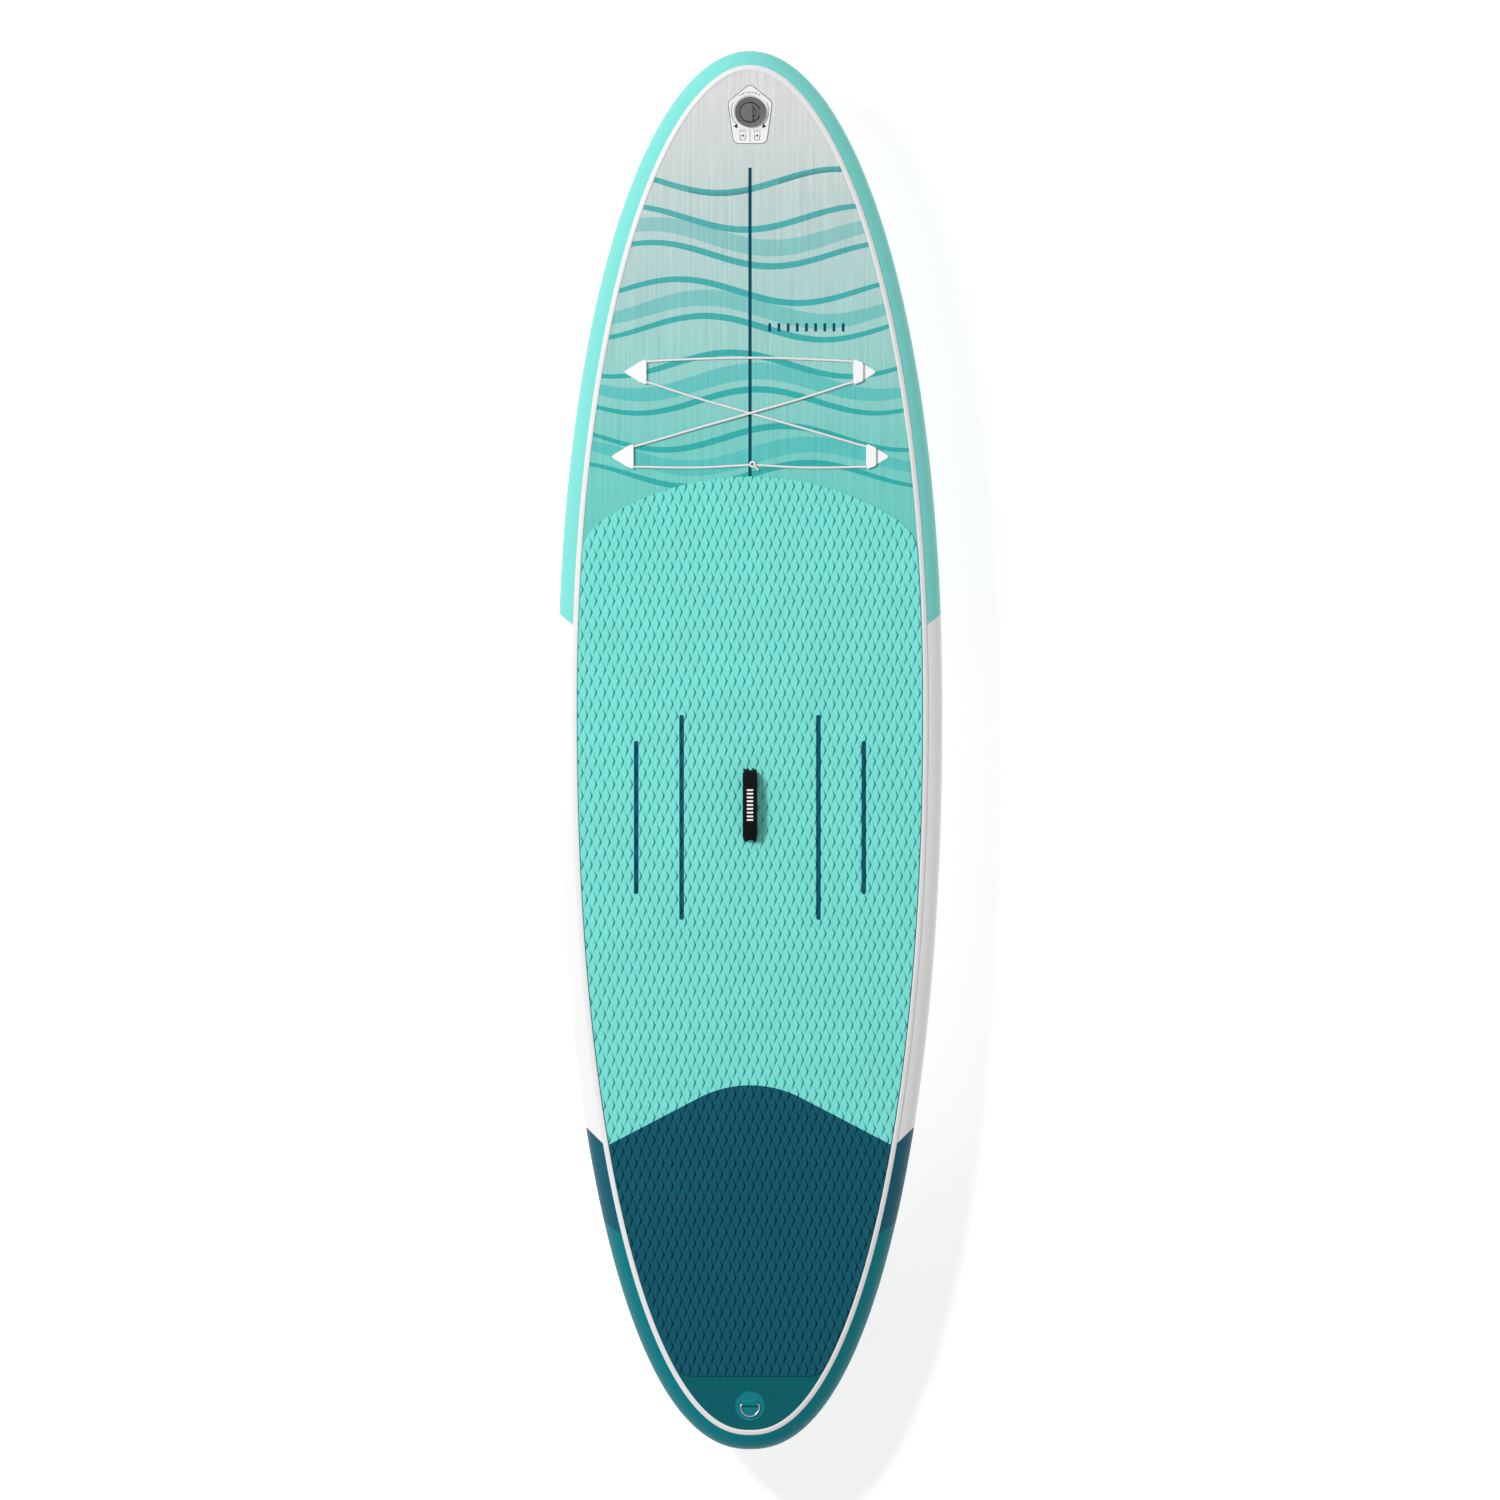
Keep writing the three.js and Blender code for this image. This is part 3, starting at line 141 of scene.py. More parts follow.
def station_at(y, inset):
    low, high = -1.0, 1.0
    for _ in range(40):
        middle = (low + high) / 2
        if inset_point(middle, inset).y < y:
            low = middle
        else:
            high = middle
    return low


def lift(y):
    """Height of the rocker over the flat of the hull."""
    ahead = max(0.0, y - (NOSE_Y - NOSE_ROCKER_RUN)) / NOSE_ROCKER_RUN
    behind = max(0.0, TAIL_Y + TAIL_KICK_RUN - y) / TAIL_KICK_RUN
    return NOSE_ROCKER * ahead ** NOSE_ROCKER_POWER + TAIL_KICK * behind ** 2


def rail_point(s, angle, depth):
    radius = RAIL_RADIUS - depth
    plan = inset_point(s, RAIL_RADIUS - radius * math.cos(angle))
    return (plan.x, plan.y, THICKNESS / 2 + radius * math.sin(angle) + lift(plan.y))


def contour(inset, steps):
    return [inset_point(-1 + 4 * i / steps, inset) for i in range(steps)]


def smooth_path(points, steps):
    """Points along the centripetal curve through these points."""
    points = [Vector(p) for p in points]
    first = points[0] * 2 - points[1]
    last = points[-1] * 2 - points[-2]
    run = [first, *points, last]
    path = []
    for i in range(1, len(run) - 2):
        p0, p1, p2, p3 = run[i - 1:i + 3]
        t1 = max((p1 - p0).length ** 0.5, 1e-6)
        t2 = t1 + max((p2 - p1).length ** 0.5, 1e-6)
        t3 = t2 + max((p3 - p2).length ** 0.5, 1e-6)
        for k in range(steps):
            t = t1 + (t2 - t1) * k / steps
            a1 = p0 * ((t1 - t) / t1) + p1 * (t / t1)
            a2 = p1 * ((t2 - t) / (t2 - t1)) + p2 * ((t - t1) / (t2 - t1))
            a3 = p2 * ((t3 - t) / (t3 - t2)) + p3 * ((t - t2) / (t3 - t2))
            b1 = a1 * ((t2 - t) / t2) + a2 * (t / t2)
            b2 = a2 * ((t3 - t) / (t3 - t1)) + a3 * ((t - t1) / (t3 - t1))
            path.append(b1 * ((t2 - t) / (t2 - t1)) + b2 * ((t - t1) / (t2 - t1)))
    path.append(points[-1])
    return path


# ---------------------------------------------------------------- mesh tools
def mesh_of(name, verts, faces):
    mesh = bpy.data.meshes.new(name)
    mesh.from_pydata([tuple(v) for v in verts], [], faces)
    shell = bmesh.new()
    shell.from_mesh(mesh)
    bmesh.ops.recalc_face_normals(shell, faces=shell.faces)
    shell.to_mesh(mesh)
    shell.free()
    return mesh


def loft(name, rings, is_loop=False):
    """Closed skin through rings of points, with a UV map in metres: v along the rings, u round them."""
    count = len(rings[0])
    total = len(rings)
    verts = [p for ring in rings for p in ring]
    faces = []
    for i in range(total if is_loop else total - 1):
        j = (i + 1) % total
        for k in range(count):
            m = (k + 1) % count
            faces.append((i * count + k, i * count + m, j * count + m, j * count + k))
    if not is_loop:
        faces.append(tuple(reversed(range(count))))
        faces.append(tuple((total - 1) * count + k for k in range(count)))
    mesh = bpy.data.meshes.new(name)
    mesh.from_pydata([tuple(v) for v in verts], [], faces)
    centres = [sum((Vector(p) for p in ring), Vector()) / count for ring in rings]
    run = [0.0]
    for i in range(1, total + 1):
        run.append(run[-1] + (centres[i % total] - centres[i - 1]).length)
    girth = [0.0]
    for k in range(1, count + 1):
        girth.append(girth[-1] + (Vector(rings[0][k % count]) - Vector(rings[0][k - 1])).length)
    uv = mesh.uv_layers.new(name="Lengths")
    for polygon in mesh.polygons:
        corners = [divmod(mesh.loops[i].vertex_index, count) for i in polygon.loop_indices]
        closes = {k for _, k in corners} == {0, count - 1} and count > 2
        ends = {i for i, _ in corners} == {0, total - 1} and total > 2
        for loop_index, (i, k) in zip(polygon.loop_indices, corners):
            u = girth[count] if closes and k == 0 else girth[k]
            v = run[total] if ends and i == 0 else run[i]
            uv.data[loop_index].uv = (u, v)
    shell = bmesh.new()
    shell.from_mesh(mesh)
    bmesh.ops.recalc_face_normals(shell, faces=shell.faces)
    shell.to_mesh(mesh)
    shell.free()
    return mesh


def tube_rings(path, radius, sides, is_loop=False, up=Vector((0, 0, 1))):
    """Round sections along a path, each turned to face along it."""
    rings = []
    total = len(path)
    for i, point in enumerate(path):
        ahead = path[(i + 1) % total] if is_loop or i < total - 1 else path[i]
        behind = path[i - 1] if is_loop or i > 0 else path[i]
        along = (ahead - behind).normalized()
        side = along.cross(up).normalized()
        rise = side.cross(along)
        size = radius(i / (total - 1)) if callable(radius) else radius
        ring = []
        for k in range(sides):
            turn = 2 * math.pi * k / sides
            ring.append(point + side * (size * math.cos(turn)) + rise * (size * math.sin(turn)))
        rings.append(ring)
    return rings


def prism(name, outline, low, high):
    count = len(outline)
    verts = [(p[0], p[1], low) for p in outline] + [(p[0], p[1], high) for p in outline]
    faces = [tuple(range(count)), tuple(range(2 * count - 1, count - 1, -1))]
    for k in range(count):
        m = (k + 1) % count
        faces.append((k, m, count + m, count + k))
    return mesh_of(name, verts, faces)


def carved(body, tool, operation):
    """Mesh of a body cut by, or shared with, another one. Both meshes are used up."""
    subject = bpy.data.objects.new("carve_subject", body)
    cutter = bpy.data.objects.new("carve_tool", tool)
    for item in (subject, cutter):
        bpy.context.scene.collection.objects.link(item)
    step = subject.modifiers.new("Carve", "BOOLEAN")
    step.operation = operation
    step.solver = "MANIFOLD"
    step.object = cutter
    graph = bpy.context.evaluated_depsgraph_get()
    result = bpy.data.meshes.new_from_object(subject.evaluated_get(graph))
    for item in (subject, cutter):
        data = item.data
        bpy.data.objects.remove(item)
        bpy.data.meshes.remove(data)
    if not result.polygons:
        raise RuntimeError("a carved piece came out empty")
    return result


def rocker_strip(low, high, step=0.02):
    """Wide slab that follows the rocker, for cutting sheets out of."""
    count = math.ceil((LENGTH + 0.02) / step)
    rings = []
    for i in range(count + 1):
        y = TAIL_Y - 0.01 + (LENGTH + 0.02) * i / count
        z = lift(y)
        rings.append([(-0.5, y, z + low), (0.5, y, z + low), (0.5, y, z + high), (-0.5, y, z + high)])
    return loft("rocker_strip", rings)


def layer(outline, low, high, step=0.02):
    return carved(rocker_strip(low, high, step), prism("outline", outline, -1, 1), "INTERSECT")


def joined(name, meshes):
    """One mesh from several, each keeping its own shells."""
    shell = bmesh.new()
    for mesh in meshes:
        shell.from_mesh(mesh)
    whole = bpy.data.meshes.new(name)
    shell.to_mesh(whole)
    shell.free()
    for mesh in meshes:
        bpy.data.meshes.remove(mesh)
    return whole


def placed(mesh, origin, tilt):
    """Moves a mesh drawn on a flat deck to its place on the slope."""
    mesh.transform(Matrix.Translation(origin) @ Matrix.Rotation(tilt, 4, "X"))
    return mesh


def show(name, mesh, material, body, replaces=(), sharp=35, bevel=0.0):
    piece = bpy.data.objects.new(name, mesh)
    bpy.context.scene.collection.objects.link(piece)
    mesh.materials.clear()
    mesh.materials.append(material)
    for polygon in mesh.polygons:
        polygon.use_smooth = True
    mesh.set_sharp_from_angle(angle=math.radians(sharp))
    if bevel:
        rounding = piece.modifiers.new("Rounded edges", "BEVEL")
        rounding.width = bevel
        rounding.segments = 2
        rounding.limit_method = "ANGLE"
        rounding.angle_limit = math.radians(sharp)
        rounding.harden_normals = False
    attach(piece, body)
    if replaces:
        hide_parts(*replaces)
    return piece


def refined(node, material, body, sharp=35, bevel=0.0, name=None):
    """A welded, smooth-shaded copy of a CAD node, which stands in for it."""
    shell = bmesh.new()
    shell.from_mesh(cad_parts[node].data)
    bmesh.ops.remove_doubles(shell, verts=shell.verts, dist=1e-6)
    bmesh.ops.dissolve_limit(
        shell, angle_limit=math.radians(0.5), verts=shell.verts, edges=shell.edges)
    mesh = bpy.data.meshes.new(node)
    shell.to_mesh(mesh)
    shell.free()
    return show(name or f"{node}_finished", mesh, material, body, (node,), sharp, bevel)


# ---------------------------------------------------------------- materials
def linear(colour):
    """Linear RGBA of an sRGB hex colour such as #86E2D9."""
    code = colour.lstrip("#")
    channels = [int(code[i:i + 2], 16) / 255 for i in (0, 2, 4)]
    return tuple(c / 12.92 if c <= 0.04045 else ((c + 0.055) / 1.055) ** 2.4 for c in channels) + (1.0,)


def add(tree, kind, settings=None, **inputs):
    """Adds a node, sets its properties, and fills or links its inputs. An input named in1 is the second one."""
    node = tree.nodes.new(kind)
    for name, value in (settings or {}).items():
        setattr(node, name, value)
    for key, value in inputs.items():
        index = int(key[2:]) if key.startswith("in") and key[2:].isdigit() else key.replace("_", " ")
        socket = node.inputs[index]
        if isinstance(value, bpy.types.NodeSocket):
            tree.links.new(value, socket)
        else:
            socket.default_value = value
    return node


def new_material(name, **constants):
    """Material with a Principled shader whose constants are set straight on its sockets."""
    material = bpy.data.materials.new(name)
    material.use_nodes = True
    tree = material.node_tree
    shader = tree.nodes["Principled BSDF"]
    if not constants.get("Metallic"):
        constants.setdefault("Specular_IOR_Level", 0.06)
    for key, value in constants.items():
        shader.inputs[key.replace("_", " ")].default_value = value
    return material, tree, shader


def grained(name, colour, grain, depth, tint=0.06, **constants):
    """Even colour with a fine grain: grain and depth are its real size and relief in metres."""
    material, tree, shader = new_material(name, **constants)
    place = add(tree, "ShaderNodeTexCoord").outputs["Object"]
    fine = add(tree, "ShaderNodeTexNoise", Vector=place, Scale=0.5 / grain, Detail=3.0, Roughness=0.6)
    broad = add(tree, "ShaderNodeTexNoise", Vector=place, Scale=7.0, Detail=2.0)
    tone = add(tree, "ShaderNodeMapRange", Value=broad.outputs["Fac"], To_Min=-tint, To_Max=tint)
    speck = add(tree, "ShaderNodeMath", {"operation": "MULTIPLY_ADD"},
                in0=fine.outputs["Fac"], in1=tint, in2=tone.outputs["Result"])
    shade = add(tree, "ShaderNodeMath", {"operation": "ADD"}, in0=speck.outputs[0], in1=1.0 - tint / 2)
    paint = add(tree, "ShaderNodeVectorMath", {"operation": "SCALE"},
                in0=linear(colour)[:3], Scale=shade.outputs[0])
    tree.links.new(paint.outputs[0], shader.inputs["Base Color"])
    bump = add(tree, "ShaderNodeBump", Height=fine.outputs["Fac"], Distance=depth, Strength=0.7)
    tree.links.new(bump.outputs["Normal"], shader.inputs["Normal"])
    return material


def deck_shade(tree, place, stops):
    """Colour that fades along the board, with fine lengthwise ribs 4 to 9 mm apart."""
    axes = add(tree, "ShaderNodeSeparateXYZ", Vector=place)
    along = add(tree, "ShaderNodeMapRange", Value=axes.outputs["Y"], From_Min=-1.5, From_Max=1.5)
    fade = add(tree, "ShaderNodeValToRGB", Fac=along.outputs["Result"])
    ramp = fade.color_ramp
    ramp.elements[0].position = (stops[0][0] + 1.5) / 3
    ramp.elements[0].color = linear(stops[0][1])
    ramp.elements[1].position = (stops[-1][0] + 1.5) / 3
    ramp.elements[1].color = linear(stops[-1][1])
    for y, colour in stops[1:-1]:
        ramp.elements.new((y + 1.5) / 3).color = linear(colour)
    lines = add(tree, "ShaderNodeVectorMath", {"operation": "MULTIPLY"}, in0=place, in1=(1.0, 0.02, 0.0))
    fine = add(tree, "ShaderNodeTexNoise", Vector=lines.outputs[0], Scale=190.0, Detail=3.0, Roughness=0.75)
    tone = add(tree, "ShaderNodeMapRange", Value=fine.outputs["Fac"], From_Min=0.3, From_Max=0.7,
               To_Min=0.86, To_Max=1.08)
    paint = add(tree, "ShaderNodeVectorMath", {"operation": "SCALE"},
                in0=fade.outputs["Color"], Scale=tone.outputs["Result"])
    return paint.outputs[0], fine.outputs["Fac"]


def coated_deck_fabric(name, stops):
    # PVC-coated drop-stitch polyester, printed: a satin skin over fine lengthwise ribs of yarn
    material, tree, shader = new_material(name, Roughness=0.52, IOR=1.5)
    place = add(tree, "ShaderNodeTexCoord").outputs["Object"]
    paint, rib = deck_shade(tree, place, stops)
    tree.links.new(paint, shader.inputs["Base Color"])
    bump = add(tree, "ShaderNodeBump", Height=rib, Distance=0.0005, Strength=0.6)
    tree.links.new(bump.outputs["Normal"], shader.inputs["Normal"])
    return material


def laminated_pvc(name, colour):
    # calendered PVC sheet glued over the side wall: smooth and satin, with a faint 1.5 mm fabric emboss
    return grained(name, colour, 0.0015, 0.00006, 0.025, Roughness=0.42, IOR=1.52,
                   Coat_Weight=0.04, Coat_Roughness=0.25)


def eva_foam(name, face, groove):
    # closed-cell EVA foam, heat-pressed: matt, paler on the broad faces, with painted shade: a darker colour
    # laid over each lozenge's right corner in place of the relief's shadow, where the small relief alone shows
    # too faintly
    material, tree, shader = new_material(name, Roughness=0.7, IOR=1.45, Sheen_Weight=0.02)
    place = add(tree, "ShaderNodeTexCoord").outputs["Object"]
    axes = add(tree, "ShaderNodeSeparateXYZ", Vector=place)
    painted_shade_marks = []
    for across, along in ((0.5, 0.0), (0.0, 0.5)):
        right = add(tree, "ShaderNodeMath", {"operation": "SUBTRACT"}, in0=axes.outputs["X"],
                    in1=across * LOZENGE_WIDTH)
        right = add(tree, "ShaderNodeMath", {"operation": "WRAP"}, in0=right.outputs[0],
                    in1=LOZENGE_WIDTH / 2, in2=-LOZENGE_WIDTH / 2)
        ahead = add(tree, "ShaderNodeMath", {"operation": "SUBTRACT"}, in0=axes.outputs["Y"],
                    in1=along * LOZENGE_LENGTH)
        ahead = add(tree, "ShaderNodeMath", {"operation": "WRAP"}, in0=ahead.outputs[0],
                    in1=LOZENGE_LENGTH / 2, in2=-LOZENGE_LENGTH / 2)
        span = add(tree, "ShaderNodeMath", {"operation": "ABSOLUTE"}, in0=ahead.outputs[0])
        depth = add(tree, "ShaderNodeMath", {"operation": "MULTIPLY_ADD"}, in0=span.outputs[0],
                    in1=LOZENGE_WIDTH / LOZENGE_LENGTH, in2=right.outputs[0])
        near = add(tree, "ShaderNodeMapRange", Value=depth.outputs[0],
                   From_Min=PAINTED_SHADE_ACROSS[0], From_Max=PAINTED_SHADE_ACROSS[1])
        inside = add(tree, "ShaderNodeMapRange", Value=depth.outputs[0],
                     From_Min=PAINTED_SHADE_ACROSS[3], From_Max=PAINTED_SHADE_ACROSS[2])
        low = add(tree, "ShaderNodeMapRange", Value=ahead.outputs[0],
                  From_Min=PAINTED_SHADE_ALONG[0], From_Max=PAINTED_SHADE_ALONG[1])
        high = add(tree, "ShaderNodeMapRange", Value=ahead.outputs[0],
                   From_Min=PAINTED_SHADE_ALONG[3], From_Max=PAINTED_SHADE_ALONG[2])
        reach = add(tree, "ShaderNodeMath", {"operation": "MULTIPLY"}, in0=low.outputs[0], in1=high.outputs[0])
        painted_shade_band = add(tree, "ShaderNodeMath", {"operation": "MULTIPLY"}, in0=near.outputs[0],
                        in1=inside.outputs[0])
        painted_shade_mark = add(tree, "ShaderNodeMath", {"operation": "MULTIPLY"}, in0=reach.outputs[0],
                   in1=painted_shade_band.outputs[0])
        painted_shade_marks.append(painted_shade_mark.outputs[0])
    # painted shade: how much of the darker corner colour each spot of foam gets
    dark = add(tree, "ShaderNodeMath", {"operation": "MAXIMUM"}, in0=painted_shade_marks[0], in1=painted_shade_marks[1])
    tint = add(tree, "ShaderNodeMix", {"data_type": "RGBA"}, in0=dark.outputs[0],
               in6=linear(face), in7=linear(groove))
    cells = add(tree, "ShaderNodeTexVoronoi", Vector=place, Scale=700.0)
    broad = add(tree, "ShaderNodeTexNoise", Vector=place, Scale=9.0, Detail=2.0)
    tone = add(tree, "ShaderNodeMapRange", Value=broad.outputs["Fac"], To_Min=0.95, To_Max=1.05)
    paint = add(tree, "ShaderNodeVectorMath", {"operation": "SCALE"},
                in0=tint.outputs[2], Scale=tone.outputs["Result"])
    tree.links.new(paint.outputs[0], shader.inputs["Base Color"])
    bump = add(tree, "ShaderNodeBump", Height=cells.outputs["Distance"], Distance=0.0002, Strength=0.5)
    tree.links.new(bump.outputs["Normal"], shader.inputs["Normal"])
    return material


def woven(name, colour, thread, depth, tint=0.25, **constants):
    """Plain weave over the piece's own UV map, whose units are metres. thread is the spacing in metres."""
    material, tree, shader = new_material(name, **constants)
    place = add(tree, "ShaderNodeUVMap").outputs["UV"]
    scale = 0.314 / thread
    turned = add(tree, "ShaderNodeMapping", Vector=place, Rotation=(0.0, 0.0, math.radians(45)))
    weft = add(tree, "ShaderNodeTexWave", {"bands_direction": "X"}, Vector=turned.outputs[0], Scale=scale)
    warp = add(tree, "ShaderNodeTexWave", {"bands_direction": "Y"}, Vector=turned.outputs[0], Scale=scale)
    height = add(tree, "ShaderNodeMath", {"operation": "MULTIPLY"},
                 in0=weft.outputs["Fac"], in1=warp.outputs["Fac"])
    tone = add(tree, "ShaderNodeMapRange", Value=height.outputs[0], To_Min=1.0 - tint, To_Max=1.0 + tint / 3)
    paint = add(tree, "ShaderNodeVectorMath", {"operation": "SCALE"},
                in0=linear(colour)[:3], Scale=tone.outputs["Result"])
    tree.links.new(paint.outputs[0], shader.inputs["Base Color"])
    bump = add(tree, "ShaderNodeBump", Height=height.outputs[0], Distance=depth, Strength=0.8)
    tree.links.new(bump.outputs["Normal"], shader.inputs["Normal"])
    return material


MADE = {}


def finish(key):
    """The named finish, made once."""
    if key not in MADE:
        MADE[key] = FINISHES[key]()
    return MADE[key]


DECK_FADE = ((-1.0, "#015C64"), (-0.8, "#015C64"), (0.55, "#6FC7BE"), (0.675, "#78C7BF"),
             (0.87, "#98CBC5"), (1.0, "#A8CCC9"), (1.2, "#BCCECB"), (1.42, "#D6D7D7"))
WAVE_FADE = ((0.5, "#35A9A5"), (0.75, "#35A9A5"), (1.0, "#44A9A7"), (1.35, "#5DAAAA"))
SHOAL_FADE = ((0.5, "#58BDB7"), (0.75, "#5CBDB8"), (1.0, "#7CBFBC"), (1.35, "#9FC2BF"))

FINISHES = {
    "deck_pvc": lambda: coated_deck_fabric("PVC-coated drop-stitch fabric, printed fade", DECK_FADE),
    "bottom_pvc": lambda: coated_deck_fabric(
        "PVC-coated drop-stitch fabric, white", ((-1.5, "#E9EBEA"), (1.5, "#ECEDED"))),
    "wave_print": lambda: coated_deck_fabric("Wave print on coated fabric", WAVE_FADE),
    "shoal_print": lambda: coated_deck_fabric("Pale wave print on coated fabric", SHOAL_FADE),
    # screen-printed ink: slightly matter than the fabric it lies on
    "navy_print": lambda: grained("Navy screen-printed ink", "#04465A", 0.001, 0.00004, 0.05, Roughness=0.55),
    "white_print": lambda: grained("White screen-printed ink", "#F2F2F2", 0.001, 0.00004, 0.02, Roughness=0.5),
    "black_print": lambda: grained("Black screen-printed ink", "#222426", 0.001, 0.00004, 0.04, Roughness=0.5),
    "grey_print": lambda: grained("Grey screen-printed ink", "#8E9092", 0.001, 0.00004, 0.04, Roughness=0.5),
    "rail_mint": lambda: laminated_pvc("Laminated PVC side wall, mint", "#7AD4CB"),
    "rail_white": lambda: laminated_pvc("Laminated PVC side wall, white", "#E9E9E9"),
    "rail_petrol": lambda: laminated_pvc("Laminated PVC side wall, petrol", "#155A6C"),
    "rail_teal": lambda: laminated_pvc("Laminated PVC side wall, teal", "#06767F"),
    # PVC seam tape: heat-welded strip, a little glossier than the wall
    "seam_tape": lambda: grained("Heat-welded PVC seam tape", "#E2E0E0", 0.0015, 0.00005, 0.03, Roughness=0.4),
    "drop_stitch": lambda: grained("Woven polyester drop-stitch faces", "#D8D8D4", 0.001, 0.0002, 0.1,
                                   Roughness=0.85),
    # EVA foams: the first colour is the foam's own, the second is painted shade over each lozenge's right
    # corner
    "eva_mint": lambda: eva_foam("Heat-pressed EVA foam, mint", "#76D6CD", "#128478"),
    "eva_petrol": lambda: eva_foam("Heat-pressed EVA foam, petrol", "#125566", "#02212B"),
    "eva_inlay": lambda: eva_foam("Heat-pressed EVA foam, dark inlay", "#0F5066", "#062B39"),
    # neoprene with a knitted face: soft black, faint sheen
    "neoprene_black": lambda: woven("Knit-faced neoprene, black", "#0E1011", 0.0008, 0.0001, 0.2,
                                    Roughness=0.8, Specular_IOR_Level=0.1, Sheen_Weight=0.03),
    # flat polyester webbing, woven 1.2 mm coarse so that it shows
    "webbing_black": lambda: woven("Polyester webbing, black", "#141617", 0.0012, 0.0003, 0.4,
                                   Roughness=0.75, Specular_IOR_Level=0.15, Sheen_Weight=0.03),
    "thread": lambda: grained("Bonded nylon thread", "#2A2D2F", 0.0004, 0.0001, 0.1, Roughness=0.5),
    # braided polyester sheath over elastic: diagonal strands 1.6 mm apart
    "bungee_braid": lambda: woven("Braided polyester bungee, white", "#F4F1F1", 0.0016, 0.0004, 0.18,
                                  Roughness=0.6, Sheen_Weight=0.1),
    "patch_mint": lambda: laminated_pvc("Welded PVC patch, mint", "#84DFD6"),
    "patch_white": lambda: grained("Moulded PVC patch, white", "#EFEFEF", 0.0012, 0.00006, 0.02,
                                   Roughness=0.45),
    # PVC label, thin and slightly glossy
    "valve_label": lambda: grained("Printed PVC label, white", "#E8E8E8", 0.001, 0.00003, 0.015,
                                   Roughness=0.35),
    # glass-filled nylon, spark-eroded mould: a dull fine texture
    "valve_plastic": lambda: grained("Glass-filled nylon, grey", "#6A6B6C", 0.0008, 0.0001, 0.06,
                                     Roughness=0.5),
    "valve_rubber": lambda: grained("Moulded EPDM rubber, black", "#151617", 0.0008, 0.00005, 0.08,
                                    Roughness=0.7),
    "stem_plastic": lambda: grained("Acetal, off-white", "#E4E2DC", 0.0008, 0.00003, 0.02, Roughness=0.3),
    # polished stainless steel wire: bright, with faint drawing lines
    "steel": lambda: grained("Polished stainless steel", "#C9CCD0", 0.0006, 0.00002, 0.05,
                             Roughness=0.18, Metallic=1.0),
    "brass": lambda: grained("Turned brass", "#B89A55", 0.0006, 0.00003, 0.06, Roughness=0.3, Metallic=1.0),
    "fin_box_plastic": lambda: grained("Moulded ABS, black", "#1B1D1F", 0.001, 0.00008, 0.06, Roughness=0.45),
    "fin_plastic": lambda: grained("Glass-filled nylon fin, dark petrol", "#15323B", 0.0012, 0.0001, 0.08,
                                   Roughness=0.4),
}


# ---------------------------------------------------------------- geometry nodes
def tree_with(name, inputs):
    """Node group with a geometry input and output and these named inputs; returns it with their identifiers."""
    tree = bpy.data.node_groups.new(name, "GeometryNodeTree")
    tree.interface.new_socket("Geometry", in_out="INPUT", socket_type="NodeSocketGeometry")
    keys = {}
    for label, kind, default in inputs:
        socket = tree.interface.new_socket(label, in_out="INPUT", socket_type=kind)
        if default is not None:
            socket.default_value = default
        keys[label] = socket.identifier
    tree.interface.new_socket("Geometry", in_out="OUTPUT", socket_type="NodeSocketGeometry")
    return tree, keys


def grown(base, tree, keys, values):
    """Plain mesh of what a node group makes from a base mesh, which is used up."""
    holder = bpy.data.objects.new("grown_base", base)
    bpy.context.scene.collection.objects.link(holder)
    step = holder.modifiers.new("Grow", "NODES")
    step.node_group = tree
    for label, value in values.items():
        step[keys[label]] = value
    graph = bpy.context.evaluated_depsgraph_get()
    result = bpy.data.meshes.new_from_object(holder.evaluated_get(graph))
    holder.modifiers.remove(step)
    bpy.data.objects.remove(holder)
    bpy.data.meshes.remove(base)
    if not result.polygons:
        raise RuntimeError(f"{tree.name} made nothing")
    return result


